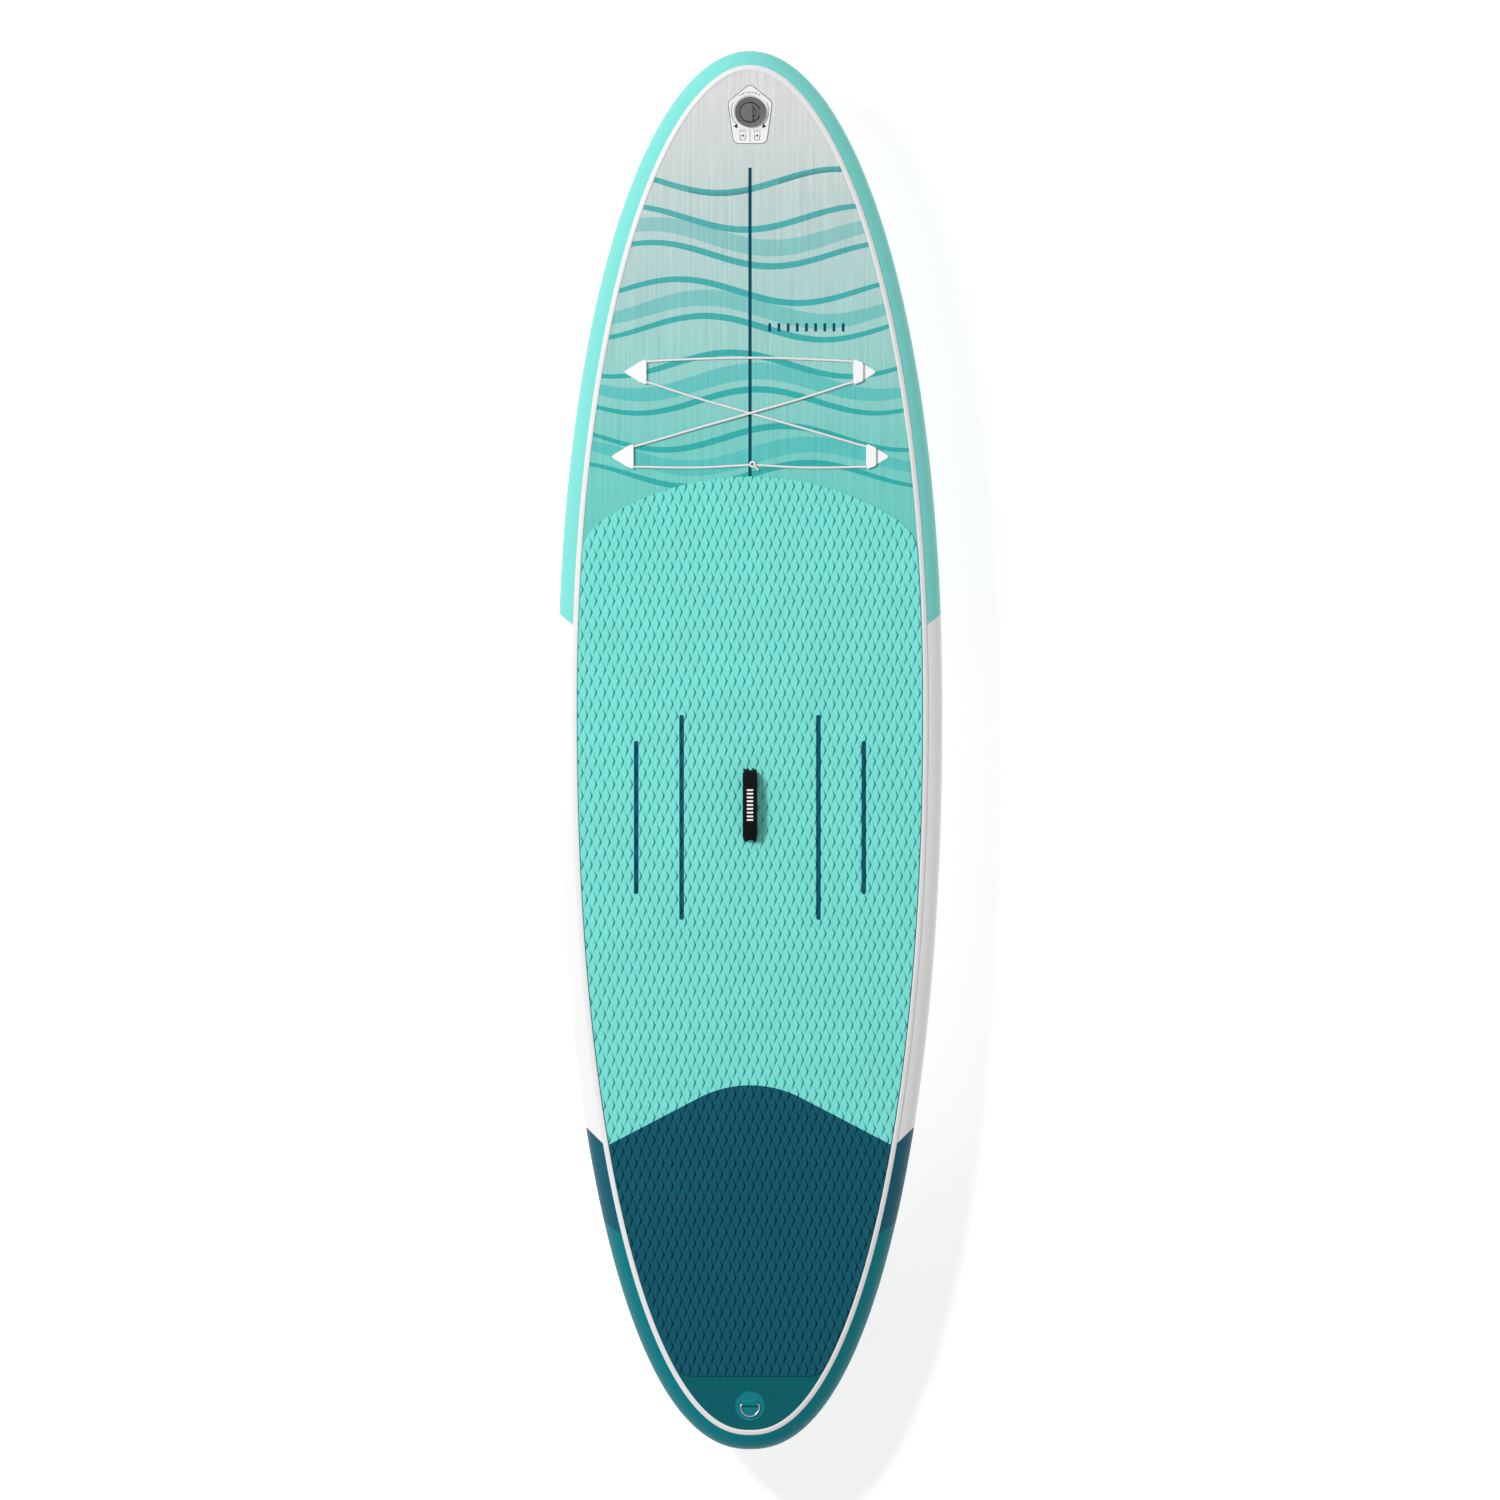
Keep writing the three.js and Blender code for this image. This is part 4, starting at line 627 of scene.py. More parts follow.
def lozenge_tree():
    """Staggered rows of raised lozenges, each a flat-topped pyramid."""
    tree, keys = tree_with("Pressed lozenges", (
        ("Width", "NodeSocketFloat", 0.02), ("Length", "NodeSocketFloat", 0.05),
        ("Height", "NodeSocketFloat", 0.002), ("Groove", "NodeSocketFloat", 0.0008),
        ("Top share", "NodeSocketFloat", 0.3), ("Lean", "NodeSocketFloat", 0.5),
        ("Columns", "NodeSocketInt", 40), ("Rows", "NodeSocketInt", 30),
        ("Material", "NodeSocketMaterial", None)))
    given = add(tree, "NodeGroupInput").outputs
    width, length = given["Width"], given["Length"]
    across = add(tree, "ShaderNodeMath", {"operation": "MULTIPLY"}, in0=width, in1=given["Columns"])
    along = add(tree, "ShaderNodeMath", {"operation": "MULTIPLY"}, in0=length, in1=given["Rows"])
    columns = add(tree, "ShaderNodeMath", {"operation": "ADD"}, in0=given["Columns"], in1=1.0)
    rows = add(tree, "ShaderNodeMath", {"operation": "ADD"}, in0=given["Rows"], in1=1.0)
    grid = add(tree, "GeometryNodeMeshGrid", Size_X=across.outputs[0], Size_Y=along.outputs[0],
               Vertices_X=columns.outputs[0], Vertices_Y=rows.outputs[0])
    half = add(tree, "ShaderNodeCombineXYZ", X=width, Y=length, Z=0.0)
    shift = add(tree, "ShaderNodeVectorMath", {"operation": "SCALE"}, in0=half.outputs[0], Scale=0.5)
    second = add(tree, "GeometryNodeTransform", Geometry=grid.outputs["Mesh"], Translation=shift.outputs[0])
    rows_both = add(tree, "GeometryNodeJoinGeometry")
    tree.links.new(grid.outputs["Mesh"], rows_both.inputs[0])
    tree.links.new(second.outputs[0], rows_both.inputs[0])
    pyramid = add(tree, "GeometryNodeMeshCone", Vertices=4, Side_Segments=1, Radius_Top=given["Top share"],
                  Radius_Bottom=1.0, Depth=1.0)
    spot = add(tree, "GeometryNodeInputPosition")
    level = add(tree, "ShaderNodeSeparateXYZ", Vector=spot.outputs[0])
    is_top = add(tree, "FunctionNodeCompare", {"operation": "GREATER_THAN"}, in0=level.outputs["Z"], in1=0.5)
    sway = add(tree, "ShaderNodeCombineXYZ", X=given["Lean"])
    leaning = add(tree, "GeometryNodeSetPosition", Geometry=pyramid.outputs["Mesh"],
                  Selection=is_top.outputs[0], Offset=sway.outputs[0])
    spread = add(tree, "ShaderNodeMath", {"operation": "SUBTRACT"}, in0=width, in1=given["Groove"])
    reach = add(tree, "ShaderNodeMath", {"operation": "SUBTRACT"}, in0=length, in1=given["Groove"])
    half_width = add(tree, "ShaderNodeMath", {"operation": "MULTIPLY"}, in0=spread.outputs[0], in1=0.5)
    half_length = add(tree, "ShaderNodeMath", {"operation": "MULTIPLY"}, in0=reach.outputs[0], in1=0.5)
    size = add(tree, "ShaderNodeCombineXYZ", X=half_width.outputs[0], Y=half_length.outputs[0],
               Z=given["Height"])
    lozenge = add(tree, "GeometryNodeTransform", Geometry=leaning.outputs[0], Scale=size.outputs[0])
    laid = add(tree, "GeometryNodeInstanceOnPoints", Points=rows_both.outputs[0], Instance=lozenge.outputs[0])
    real = add(tree, "GeometryNodeRealizeInstances", Geometry=laid.outputs[0])
    painted = add(tree, "GeometryNodeSetMaterial", Geometry=real.outputs[0], Material=given["Material"])
    add(tree, "NodeGroupOutput", Geometry=painted.outputs[0])
    return tree, keys


def stitch_tree():
    """Stitches laid end to end along a line."""
    tree, keys = tree_with("Stitch row", (
        ("Spacing", "NodeSocketFloat", 0.004), ("Length", "NodeSocketFloat", 0.003),
        ("Thickness", "NodeSocketFloat", 0.0008), ("Material", "NodeSocketMaterial", None)))
    given = add(tree, "NodeGroupInput").outputs
    line = add(tree, "GeometryNodeMeshToCurve", Mesh=given["Geometry"])
    steps = add(tree, "GeometryNodeCurveToPoints", {"mode": "LENGTH"}, Curve=line.outputs[0],
                Length=given["Spacing"])
    bead = add(tree, "GeometryNodeMeshUVSphere", Segments=6, Rings=4, Radius=0.5)
    size = add(tree, "ShaderNodeCombineXYZ", X=given["Thickness"], Y=given["Thickness"], Z=given["Length"])
    thread = add(tree, "GeometryNodeTransform", Geometry=bead.outputs["Mesh"], Scale=size.outputs[0])
    laid = add(tree, "GeometryNodeInstanceOnPoints", Points=steps.outputs["Points"],
               Instance=thread.outputs[0], Rotation=steps.outputs["Rotation"])
    real = add(tree, "GeometryNodeRealizeInstances", Geometry=laid.outputs[0])
    painted = add(tree, "GeometryNodeSetMaterial", Geometry=real.outputs[0], Material=given["Material"])
    add(tree, "NodeGroupOutput", Geometry=painted.outputs[0])
    return tree, keys


# ---------------------------------------------------------------- settings
class PaddleboardPads(bpy.types.PropertyGroup):
    """Relief of the foam pads."""

    width: bpy.props.FloatProperty(
        name="Lozenge width", description="Across the board", default=LOZENGE_WIDTH, unit="LENGTH")
    length: bpy.props.FloatProperty(
        name="Lozenge length", description="Along the board", default=LOZENGE_LENGTH, unit="LENGTH")
    height: bpy.props.FloatProperty(
        name="Lozenge height", description="Relief over the pad's base", default=0.0028, unit="LENGTH")
    groove: bpy.props.FloatProperty(
        name="Groove", description="Gap between lozenges", default=0.0002, unit="LENGTH")
    top: bpy.props.FloatProperty(
        name="Top share", description="Flat top's share of a lozenge", default=0.26, min=0.1, max=0.9)
    lean: bpy.props.FloatProperty(
        name="Lean", description="How far the top sits towards the right corner, in half widths", default=0.42,
        min=0.0, max=0.8)


class PaddleboardHull(bpy.types.PropertyGroup):
    """Fineness of the inflated hull."""

    rail_steps: bpy.props.IntProperty(
        name="Rail steps", description="Faces round the side wall", default=16, min=4)
    outline_steps: bpy.props.IntProperty(
        name="Outline steps", description="Faces round the board", default=320, min=40)
    stripe_width: bpy.props.FloatProperty(
        name="Stripe width", description="Printed centre stripe", default=0.007, unit="LENGTH")
    wave_count: bpy.props.IntProperty(
        name="Waves", description="Printed waves across the front of the deck", default=9, min=2, max=20)
    wave_start: bpy.props.FloatProperty(
        name="First wave", description="How far ahead of the middle of the board the first wave lies",
        default=0.600, unit="LENGTH")
    wave_spacing: bpy.props.FloatProperty(
        name="Wave spacing", description="From one wave to the next", default=0.080, min=0.02, unit="LENGTH")
    wave_swing: bpy.props.FloatProperty(
        name="Wave swing", description="How far a wave leaves its middle line", default=0.026, min=0.0,
        unit="LENGTH")
    wave_length: bpy.props.FloatProperty(
        name="Wave length", description="From crest to crest", default=0.520, min=0.1, unit="LENGTH")
    wave_width: bpy.props.FloatProperty(
        name="Wave width", description="Width of the ink at the middle of the board", default=0.014,
        min=0.002, unit="LENGTH")
    wave_phase: bpy.props.FloatProperty(
        name="Wave phase", description="How far each wave is shifted along the one before, in wave lengths",
        default=0.11)


class PaddleboardStage(bpy.types.PropertyGroup):
    """Camera, floor and lights."""

    view_width: bpy.props.FloatProperty(
        name="View width", description="Width of floor that the camera takes in", default=3.269, unit="LENGTH")
    floor_colour: bpy.props.FloatVectorProperty(
        name="Floor colour", description="Pale studio floor", default=(0.9, 0.9, 0.9), subtype="COLOR")
    key_power: bpy.props.FloatProperty(
        name="Key light", description="Power of the large soft light at the upper left", default=640.0,
        unit="POWER")
    fill_power: bpy.props.FloatProperty(
        name="Fill light", description="Power of the overhead soft light", default=40.0, unit="POWER")
    sky: bpy.props.FloatProperty(
        name="Room light", description="Even light from all round", default=0.42, min=0.0)


# ---------------------------------------------------------------- pieces
def mirror_outline(right):
    """Closed outline from its right half, given from the rear to the front."""
    return list(right) + [Vector((-p.x, p.y)) for p in reversed(right)]


def pad_front(x):
    return PAD_FRONT - PAD_FRONT_RADIUS + math.sqrt(PAD_FRONT_RADIUS ** 2 - x * x)


def pad_split(x):
    arc_end = PAD_SPLIT_RADIUS * math.sin(PAD_SPLIT_SLOPE)
    on_arc = min(abs(x), arc_end)
    drop = PAD_SPLIT_RADIUS - math.sqrt(PAD_SPLIT_RADIUS ** 2 - on_arc ** 2)
    return PAD_SPLIT - drop - (abs(x) - on_arc) * math.tan(PAD_SPLIT_SLOPE)


def meet_side(curve, start):
    y = start
    for _ in range(40):
        y = curve(inset_point(station_at(y, PAD_INSET), PAD_INSET).x)
    return y


def pad_side(low_y, high_y, steps):
    start, end = station_at(low_y, PAD_INSET), station_at(high_y, PAD_INSET)
    return [inset_point(start + (end - start) * i / steps, PAD_INSET) for i in range(steps + 1)]


def soft_corner(start, corner, end, steps=8):
    points = []
    for i in range(1, steps):
        t = i / steps
        points.append(start * (1 - t) ** 2 + corner * (2 * t * (1 - t)) + end * t * t)
    return points


def main_pad_outline():
    front_y = meet_side(pad_front, 0)
    corner = inset_point(station_at(front_y, PAD_INSET), PAD_INSET)
    side = pad_side(meet_side(pad_split, PAD_SPLIT), front_y - 0.04, 90)
    reach = corner.x - 0.04
    front = [Vector((reach * (1 - i / 60), pad_front(reach * (1 - i / 60)))) for i in range(61)]
    turn = soft_corner(side[-1], corner, front[0])
    rear = [Vector((side[0].x * i / 60, pad_split(side[0].x * i / 60))) for i in range(60)]
    right = rear + side + turn + front
    return mirror_outline(right[1:-1]) if right[0].x == 0 else mirror_outline(right)


def tail_pad_outline():
    corner = inset_point(station_at(PAD_REAR, PAD_INSET), PAD_INSET)
    front_y = meet_side(lambda x: pad_split(x) - 0.0006, PAD_SPLIT)
    side = pad_side(PAD_REAR + 0.026, front_y, 50)
    rear_end = Vector((corner.x - 0.026, PAD_REAR))
    turn = soft_corner(rear_end, corner, side[0])
    reach = side[-1].x
    front = [Vector((reach * (1 - i / 60), pad_split(reach * (1 - i / 60)) - 0.0006)) for i in range(1, 60)]
    return mirror_outline([rear_end, *turn, *side, *front])


def capsule_outline(x, low, high, width, steps=10):
    radius = width / 2
    points = []
    for centre, start in ((high - radius, 0.0), (low + radius, math.pi)):
        for i in range(steps + 1):
            turn = start + math.pi * i / steps
            points.append(Vector((x + radius * math.cos(turn), centre + radius * math.sin(turn))))
    return points


def round_bar(name, path, radius, sides=12, is_loop=False, up=Vector((0, 0, 1))):
    return loft(name, tube_rings(path, radius, sides, is_loop, up), is_loop)


def printed_band(name, centre_line, low, high):
    """Flat band of ink on the deck through points of (across, along, width) in millimetres."""
    path = smooth_path([(x * MM, y * MM, w * MM) for x, y, w in centre_line], 10)
    rings = []
    for i, point in enumerate(path):
        ahead = path[min(i + 1, len(path) - 1)] - path[max(i - 1, 0)]
        side = Vector((ahead.y, -ahead.x)).normalized() * (max(point.z, 0.0006) / 2)
        ring = []
        for sign, height in ((-1, low), (1, low), (1, high), (-1, high)):
            x, y = point.x + sign * side.x, point.y + sign * side.y
            ring.append((x, y, THICKNESS + lift(y) + height))
        rings.append(ring)
    return loft(name, rings)


def printed_shape(name, corners, low, high, cuts=6):
    """Flat patch of ink between its left and right sides, given bottom to top as (left x, right x, y) in mm."""
    rings = []
    for (l0, r0, y0), (l1, r1, y1) in zip(corners, corners[1:]):
        for i in range(cuts):
            t = i / cuts
            rings.append((l0 + (l1 - l0) * t, r0 + (r1 - r0) * t, y0 + (y1 - y0) * t))
    rings.append(corners[-1])
    sections = []
    for left, right, y in rings:
        z = THICKNESS + lift(y * MM)
        sections.append([(left * MM, y * MM, z + low), (right * MM, y * MM, z + low),
                         (right * MM, y * MM, z + high), (left * MM, y * MM, z + high)])
    return loft(name, sections)


def wave_line(number, look, shift=0.0, width=1.0):
    """One sine wave across the board as points of (across, along, width) in millimetres, thin at both ends."""
    points = []
    for i in range(25):
        t = i / 24
        across = (2 * t - 1) * WIDTH / 2
        turn = 2 * math.pi * (across / look.wave_length + number * look.wave_phase)
        along = look.wave_start + (number + shift) * look.wave_spacing + look.wave_swing * math.sin(turn)
        thickness = look.wave_width * width * (0.45 + 0.55 * math.sin(math.pi * t))
        points.append((across / MM, along / MM, thickness / MM))
    return points


class PADDLEBOARD_OT_stage(bpy.types.Operator):
    """Sets the camera above the board, the pale floor and the soft lights"""

    bl_idname = "paddleboard.stage"
    bl_label = "Camera, floor and lights"

    def execute(self, context):
        look = context.scene.paddleboard_stage
        scene = context.scene
        lens = bpy.data.cameras.new("Overhead camera")
        lens.type = "ORTHO"
        lens.ortho_scale = look.view_width
        lens.clip_end = 60.0
        camera = bpy.data.objects.new("Overhead camera", lens)
        camera.location = (0.0, 0.0, 7.5)
        scene.collection.objects.link(camera)
        scene.camera = camera
        ground = CAD_BOX[0][2] - 0.001
        floor_mesh = mesh_of("Studio floor", [(-30, -30, ground), (30, -30, ground), (30, 30, ground),
                                              (-30, 30, ground)], [(0, 1, 2, 3)])
        floor = bpy.data.objects.new("Studio floor", floor_mesh)
        scene.collection.objects.link(floor)
        # matt acrylic studio floor, lit a little from below so that shadows on it stay faint
        tone = tuple(look.floor_colour) + (1.0,)
        paint, _, _ = new_material("Matt acrylic floor, lit from below", Base_Color=tone, Roughness=0.95,
                                   Emission_Color=(1.0, 1.0, 1.0, 1.0), Emission_Strength=0.45)
        floor_mesh.materials.append(paint)
        for name, place, size, power in (
            ("Key softbox", (-4.1, 2.8, 8.4), 1.8, look.key_power),
            ("Overhead softbox", (0.0, 0.0, 8.0), 4.5, look.fill_power),
        ):
            lamp = bpy.data.lights.new(name, "AREA")
            lamp.shape = "SQUARE"
            lamp.size = size
            lamp.energy = power
            light = bpy.data.objects.new(name, lamp)
            light.location = place
            light.rotation_euler = (-Vector(place)).to_track_quat("-Z", "Y").to_euler()
            scene.collection.objects.link(light)
        world = bpy.data.worlds.new("Studio room")
        world.use_nodes = True
        world.node_tree.nodes["Background"].inputs["Color"].default_value = (1.0, 1.0, 1.0, 1.0)
        world.node_tree.nodes["Background"].inputs["Strength"].default_value = look.sky
        scene.world = world
        scene.view_settings.view_transform = "Standard"  # colours come out as their hex values say
        return {"FINISHED"}


class PADDLEBOARD_OT_bungee(bpy.types.Operator):
    """Threads the braided bungee through its anchors and ties its knot"""

    bl_idname = "paddleboard.bungee"
    bl_label = "Bungee"

    def execute(self, context):
        route = [Vector((x, y, (THICKNESS + lift(y * MM)) / MM + h)) for x, y, h in BUNGEE_ROUTE]
        path = [p * MM for p in smooth_path(route, 8)]
        cord = show("bungee_line", round_bar("bungee_line", path, 0.0025, 14), finish("bungee_braid"),
                    "hull", ("bungee_cord",), sharp=80)
        centre = Vector((0.0054, 0.6225, THICKNESS + lift(0.6225) + 0.006))
        loop = [centre + Vector((math.cos(a), math.sin(a), 0.12 * math.sin(2 * a))) * 0.0052
                for a in (2 * math.pi * i / 28 for i in range(28))]
        wrap = [centre + Vector((0.0052, 0.0029 * math.cos(a), 0.0029 * math.sin(a)))
                for a in (2 * math.pi * i / 20 for i in range(20))]
        start = centre + Vector((0.004, -0.003, 0.0005))
        bend = centre + Vector((0.0085, -0.0085, 0))
        tip = centre + Vector((0.0135, -0.0132, -0.002))
        tail = smooth_path([start, bend, tip], 6)
        parts = [
            round_bar("knot_loop", loop, 0.0024, 12, True),
            round_bar("knot_wrap", wrap, 0.0024, 12, True, Vector((1, 0, 0))),
            round_bar("knot_tail", tail, lambda t: 0.0024 if t < 0.99 else 0.0017, 12),
        ]
        knot = show("bungee_knot_tied", joined("bungee_knot_tied", parts), finish("bungee_braid"), "hull",
                    ("bungee_knot",), sharp=80)
        return {"FINISHED"}


class PADDLEBOARD_OT_skins(bpy.types.Operator):
    """Makes the deck and bottom skins, the seam tapes and the drop-stitch core"""

    bl_idname = "paddleboard.skins"
    bl_label = "Skins and seam tapes"

    def execute(self, context):
        hull = context.scene.paddleboard_hull
        outline = contour(DECK_EDGE, hull.outline_steps)
        deck = layer(outline, THICKNESS - 0.0012, THICKNESS)
        hole = prism("valve_hole", [Vector((0.0204 * math.cos(a), VALVE_Y + 0.0204 * math.sin(a)))
                                    for a in (2 * math.pi * i / 48 for i in range(48))], -1, 1)
        deck = carved(deck, hole, "DIFFERENCE")
        show("deck_fabric", deck, finish("deck_pvc"), "hull", ("deck_skin",), sharp=50)
        show("bottom_fabric", layer(outline, 0.0, 0.0012), finish("bottom_pvc"), "hull",
             ("bottom_skin",), sharp=50)
        for name, is_deck in (("deck_seam_tape", True), ("bottom_seam_tape", False)):
            insets = [TAPE_OUTER + (TAPE_INNER - TAPE_OUTER) * k / 8 for k in range(9)]
            rings = []
            for i in range(hull.outline_steps):
                s = -1 + 4 * i / hull.outline_steps
                faces = []
                for rise, order in ((0.0010, insets), (0.0020, insets[::-1])):
                    for inset in order:
                        edge_drop = 0.0005 if rise > 0.0015 and inset in (TAPE_OUTER, TAPE_INNER) else 0.0
                        if inset >= SEAM_INSET:
                            height = THICKNESS
                        else:
                            height = THICKNESS / 2 + math.sqrt(RAIL_RADIUS ** 2 - (RAIL_RADIUS - inset) ** 2)
                        height += rise - edge_drop
                        plan = inset_point(s, inset)
                        z = lift(plan.y) + (height if is_deck else THICKNESS - height)
                        faces.append((plan.x, plan.y, z))
                rings.append(faces)
            show(f"{name}_weld", loft(name, rings, True), finish("seam_tape"), "hull", (name,),
                 sharp=50)
        refined("drop_stitch_core", finish("drop_stitch"), "hull")
        return {"FINISHED"}


class PADDLEBOARD_OT_rails(bpy.types.Operator):
    """Wraps the bulging side wall in its coloured bands"""

    bl_idname = "paddleboard.rails"
    bl_label = "Side wall bands"

    def execute(self, context):
        steps = context.scene.paddleboard_hull.rail_steps
        seam = math.asin(THICKNESS / 2 / RAIL_RADIUS)
        angles = [seam * (2 * k / steps - 1) for k in range(steps + 1)]
        insets = {a: RAIL_RADIUS * (1 - math.cos(a)) for a in angles}

        def joint(y, slant, clearance):
            return {a: station_at(y - slant * insets[a] / TAPE_OUTER + clearance, insets[a]) for a in angles}

        half = 0.0002
        nose_on, nose_off = joint(0.297, 0.0244, half), joint(0.297, 0.0244, -half)
        mid_on, mid_off = joint(-0.821, 0.0366, half), joint(-0.821, 0.0366, -half)
        tail_on, tail_off = joint(-1.029, 0.0264, half), joint(-1.029, 0.0264, -half)

        def left(rule):
            return {a: 2 - s for a, s in rule.items()}

        bands = (
            ("rail_band_nose", nose_on, left(nose_on), 150, "rail_mint"),
            ("rail_band_mid_right", mid_on, nose_off, 48, "rail_white"),
            ("rail_band_mid_left", left(nose_off), left(mid_on), 48, "rail_white"),
            ("rail_band_aft_right", tail_on, mid_off, 12, "rail_petrol"),
            ("rail_band_aft_left", left(mid_off), left(tail_on), 12, "rail_petrol"),
            ("rail_band_tail", {a: -2 - s for a, s in tail_off.items()}, tail_off, 110, "rail_teal"),
        )
        for name, start, end, count, slot in bands:
            rings = []
            for i in range(count + 1):
                t = i / count
                outer = [rail_point(start[a] + (end[a] - start[a]) * t, a, 0) for a in angles]
                inner = [rail_point(start[a] + (end[a] - start[a]) * t, a, 0.0012) for a in angles]
                rings.append(outer + inner[::-1])
            show(f"{name}_wrap", loft(name, rings), finish(slot), "hull", (name,), sharp=50)
        return {"FINISHED"}


class PADDLEBOARD_OT_deck_print(bpy.types.Operator):
    """Prints the waves, the centre stripe and the bars on the deck"""

    bl_idname = "paddleboard.deck_print"
    bl_label = "Deck print"

    def execute(self, context):
        inside = [Vector((p.x, p.y)) for p in contour(0.0408, 320)]
        look = context.scene.paddleboard_hull
        waves = [wave_line(i, look) for i in range(look.wave_count)]
        shoals = [wave_line(i, look, 0.5, 2.6) for i in range(0, look.wave_count - 1, 2)]
        for name, lines, key, base in (("shoal_print", shoals, "shoal_print", 0.00003),
                                       ("wave_print", waves, "wave_print", 0.00012)):
            bands = []
            for i, line in enumerate(lines):
                low = base + i * 0.000008
                band = printed_band(name, line, low, low + 0.00003)
                bands.append(carved(band, prism("inside", inside, -1, 1), "INTERSECT"))
            show(name, joined(name, bands), finish(key), "hull", sharp=80)
        half = look.stripe_width / 2 / MM
        stripe = printed_shape("stripe", [(-half, half, 597), (-half, half, 1269)], 0.00031, 0.00035, 40)
        bars = []
        for i in range(9):
            x = 40 + 20 * i
            bars.append(printed_shape("bar", [(x, x + 6, 912), (x, x + 6, 930)], 0.00031, 0.00035))
        show("centre_stripe", joined("centre_stripe", [stripe, *bars]), finish("navy_print"), "hull",
             sharp=80)
        return {"FINISHED"}


class PADDLEBOARD_OT_pads(bpy.types.Operator):
    """Presses the foam pads with their lozenges and inlaid strips"""

    bl_idname = "paddleboard.pads"
    bl_label = "Foam pads"

    def execute(self, context):
        look = context.scene.paddleboard_pads
        tree, keys = lozenge_tree()
        main, tail = main_pad_outline(), tail_pad_outline()
        strips = []
        for label, x, low, high in (("outer", 0.248, -0.314, 0.0194), ("inner", 0.149, -0.370, 0.0765)):
            for side_name, side in (("left", -1), ("right", 1)):
                strips.append((f"pad_inlay_{label}_{side_name}", side * x, low, high))

        def relief(low_y, high_y, half_x):
            rows = 2 * math.ceil((high_y - low_y) / 2 / look.length) + 2
            middle = round((low_y + high_y) / 2 / look.length) * look.length
            columns = 2 * math.ceil(half_x / look.width) + 2
            base = bpy.data.meshes.new("seed")
            mesh = grown(base, tree, keys, {
                "Width": look.width, "Length": look.length, "Height": look.height + 0.0004,
                "Groove": look.groove, "Top share": look.top, "Lean": look.lean,
                "Columns": columns, "Rows": rows, "Material": finish("eva_mint")})
            place = np.empty(len(mesh.vertices) * 3)
            mesh.vertices.foreach_get("co", place)
            place = place.reshape(-1, 3)
            place[:, 1] += middle
            place[:, 2] += PAD_TOP - look.height - 0.0004 - place[:, 2].min()
            place[:, 2] += [lift(y) for y in place[:, 1]]
            mesh.vertices.foreach_set("co", place.ravel())
            mesh.materials.clear()
            return mesh

        def pad_piece(name, outline, cut_outlines, slot, span):
            slab = layer(outline, PAD_LOW, PAD_TOP - look.height, 0.02)
            bumps = carved(relief(*span), prism("outline", outline, -1, 1), "INTERSECT")
            for cut_outline in cut_outlines:
                slab = carved(slab, prism("cut", cut_outline, -1, 1), "DIFFERENCE")
                bumps = carved(bumps, prism("cut", cut_outline, -1, 1), "DIFFERENCE")
            mesh = joined(name, [slab, bumps])
            piece = show(f"{name}_foam", mesh, finish(slot), "hull", (name,), sharp=20)
            return piece

        grooves = [capsule_outline(x, low - 0.0004, high + 0.0004, 0.0101) for _, x, low, high in strips]
        for end in (-1, 1):
            y = HANDLE_Y + end * 0.0744
            grooves.append([Vector((-0.0148, y - 0.0018)), Vector((0.0148, y - 0.0018)),
                            Vector((0.0148, y + 0.0018)), Vector((-0.0148, y + 0.0018))])
        whole = (-0.95, 0.65, 0.40)
        pad_piece("deck_pad_main", main, grooves, "eva_mint", whole)
        pad_piece("deck_pad_tail", tail, (), "eva_petrol", (-1.40, -0.70, 0.40))
        for name, x, low, high in strips:
            pad_piece(name, capsule_outline(x, low, high, 0.0093), (), "eva_inlay", whole)
        return {"FINISHED"}


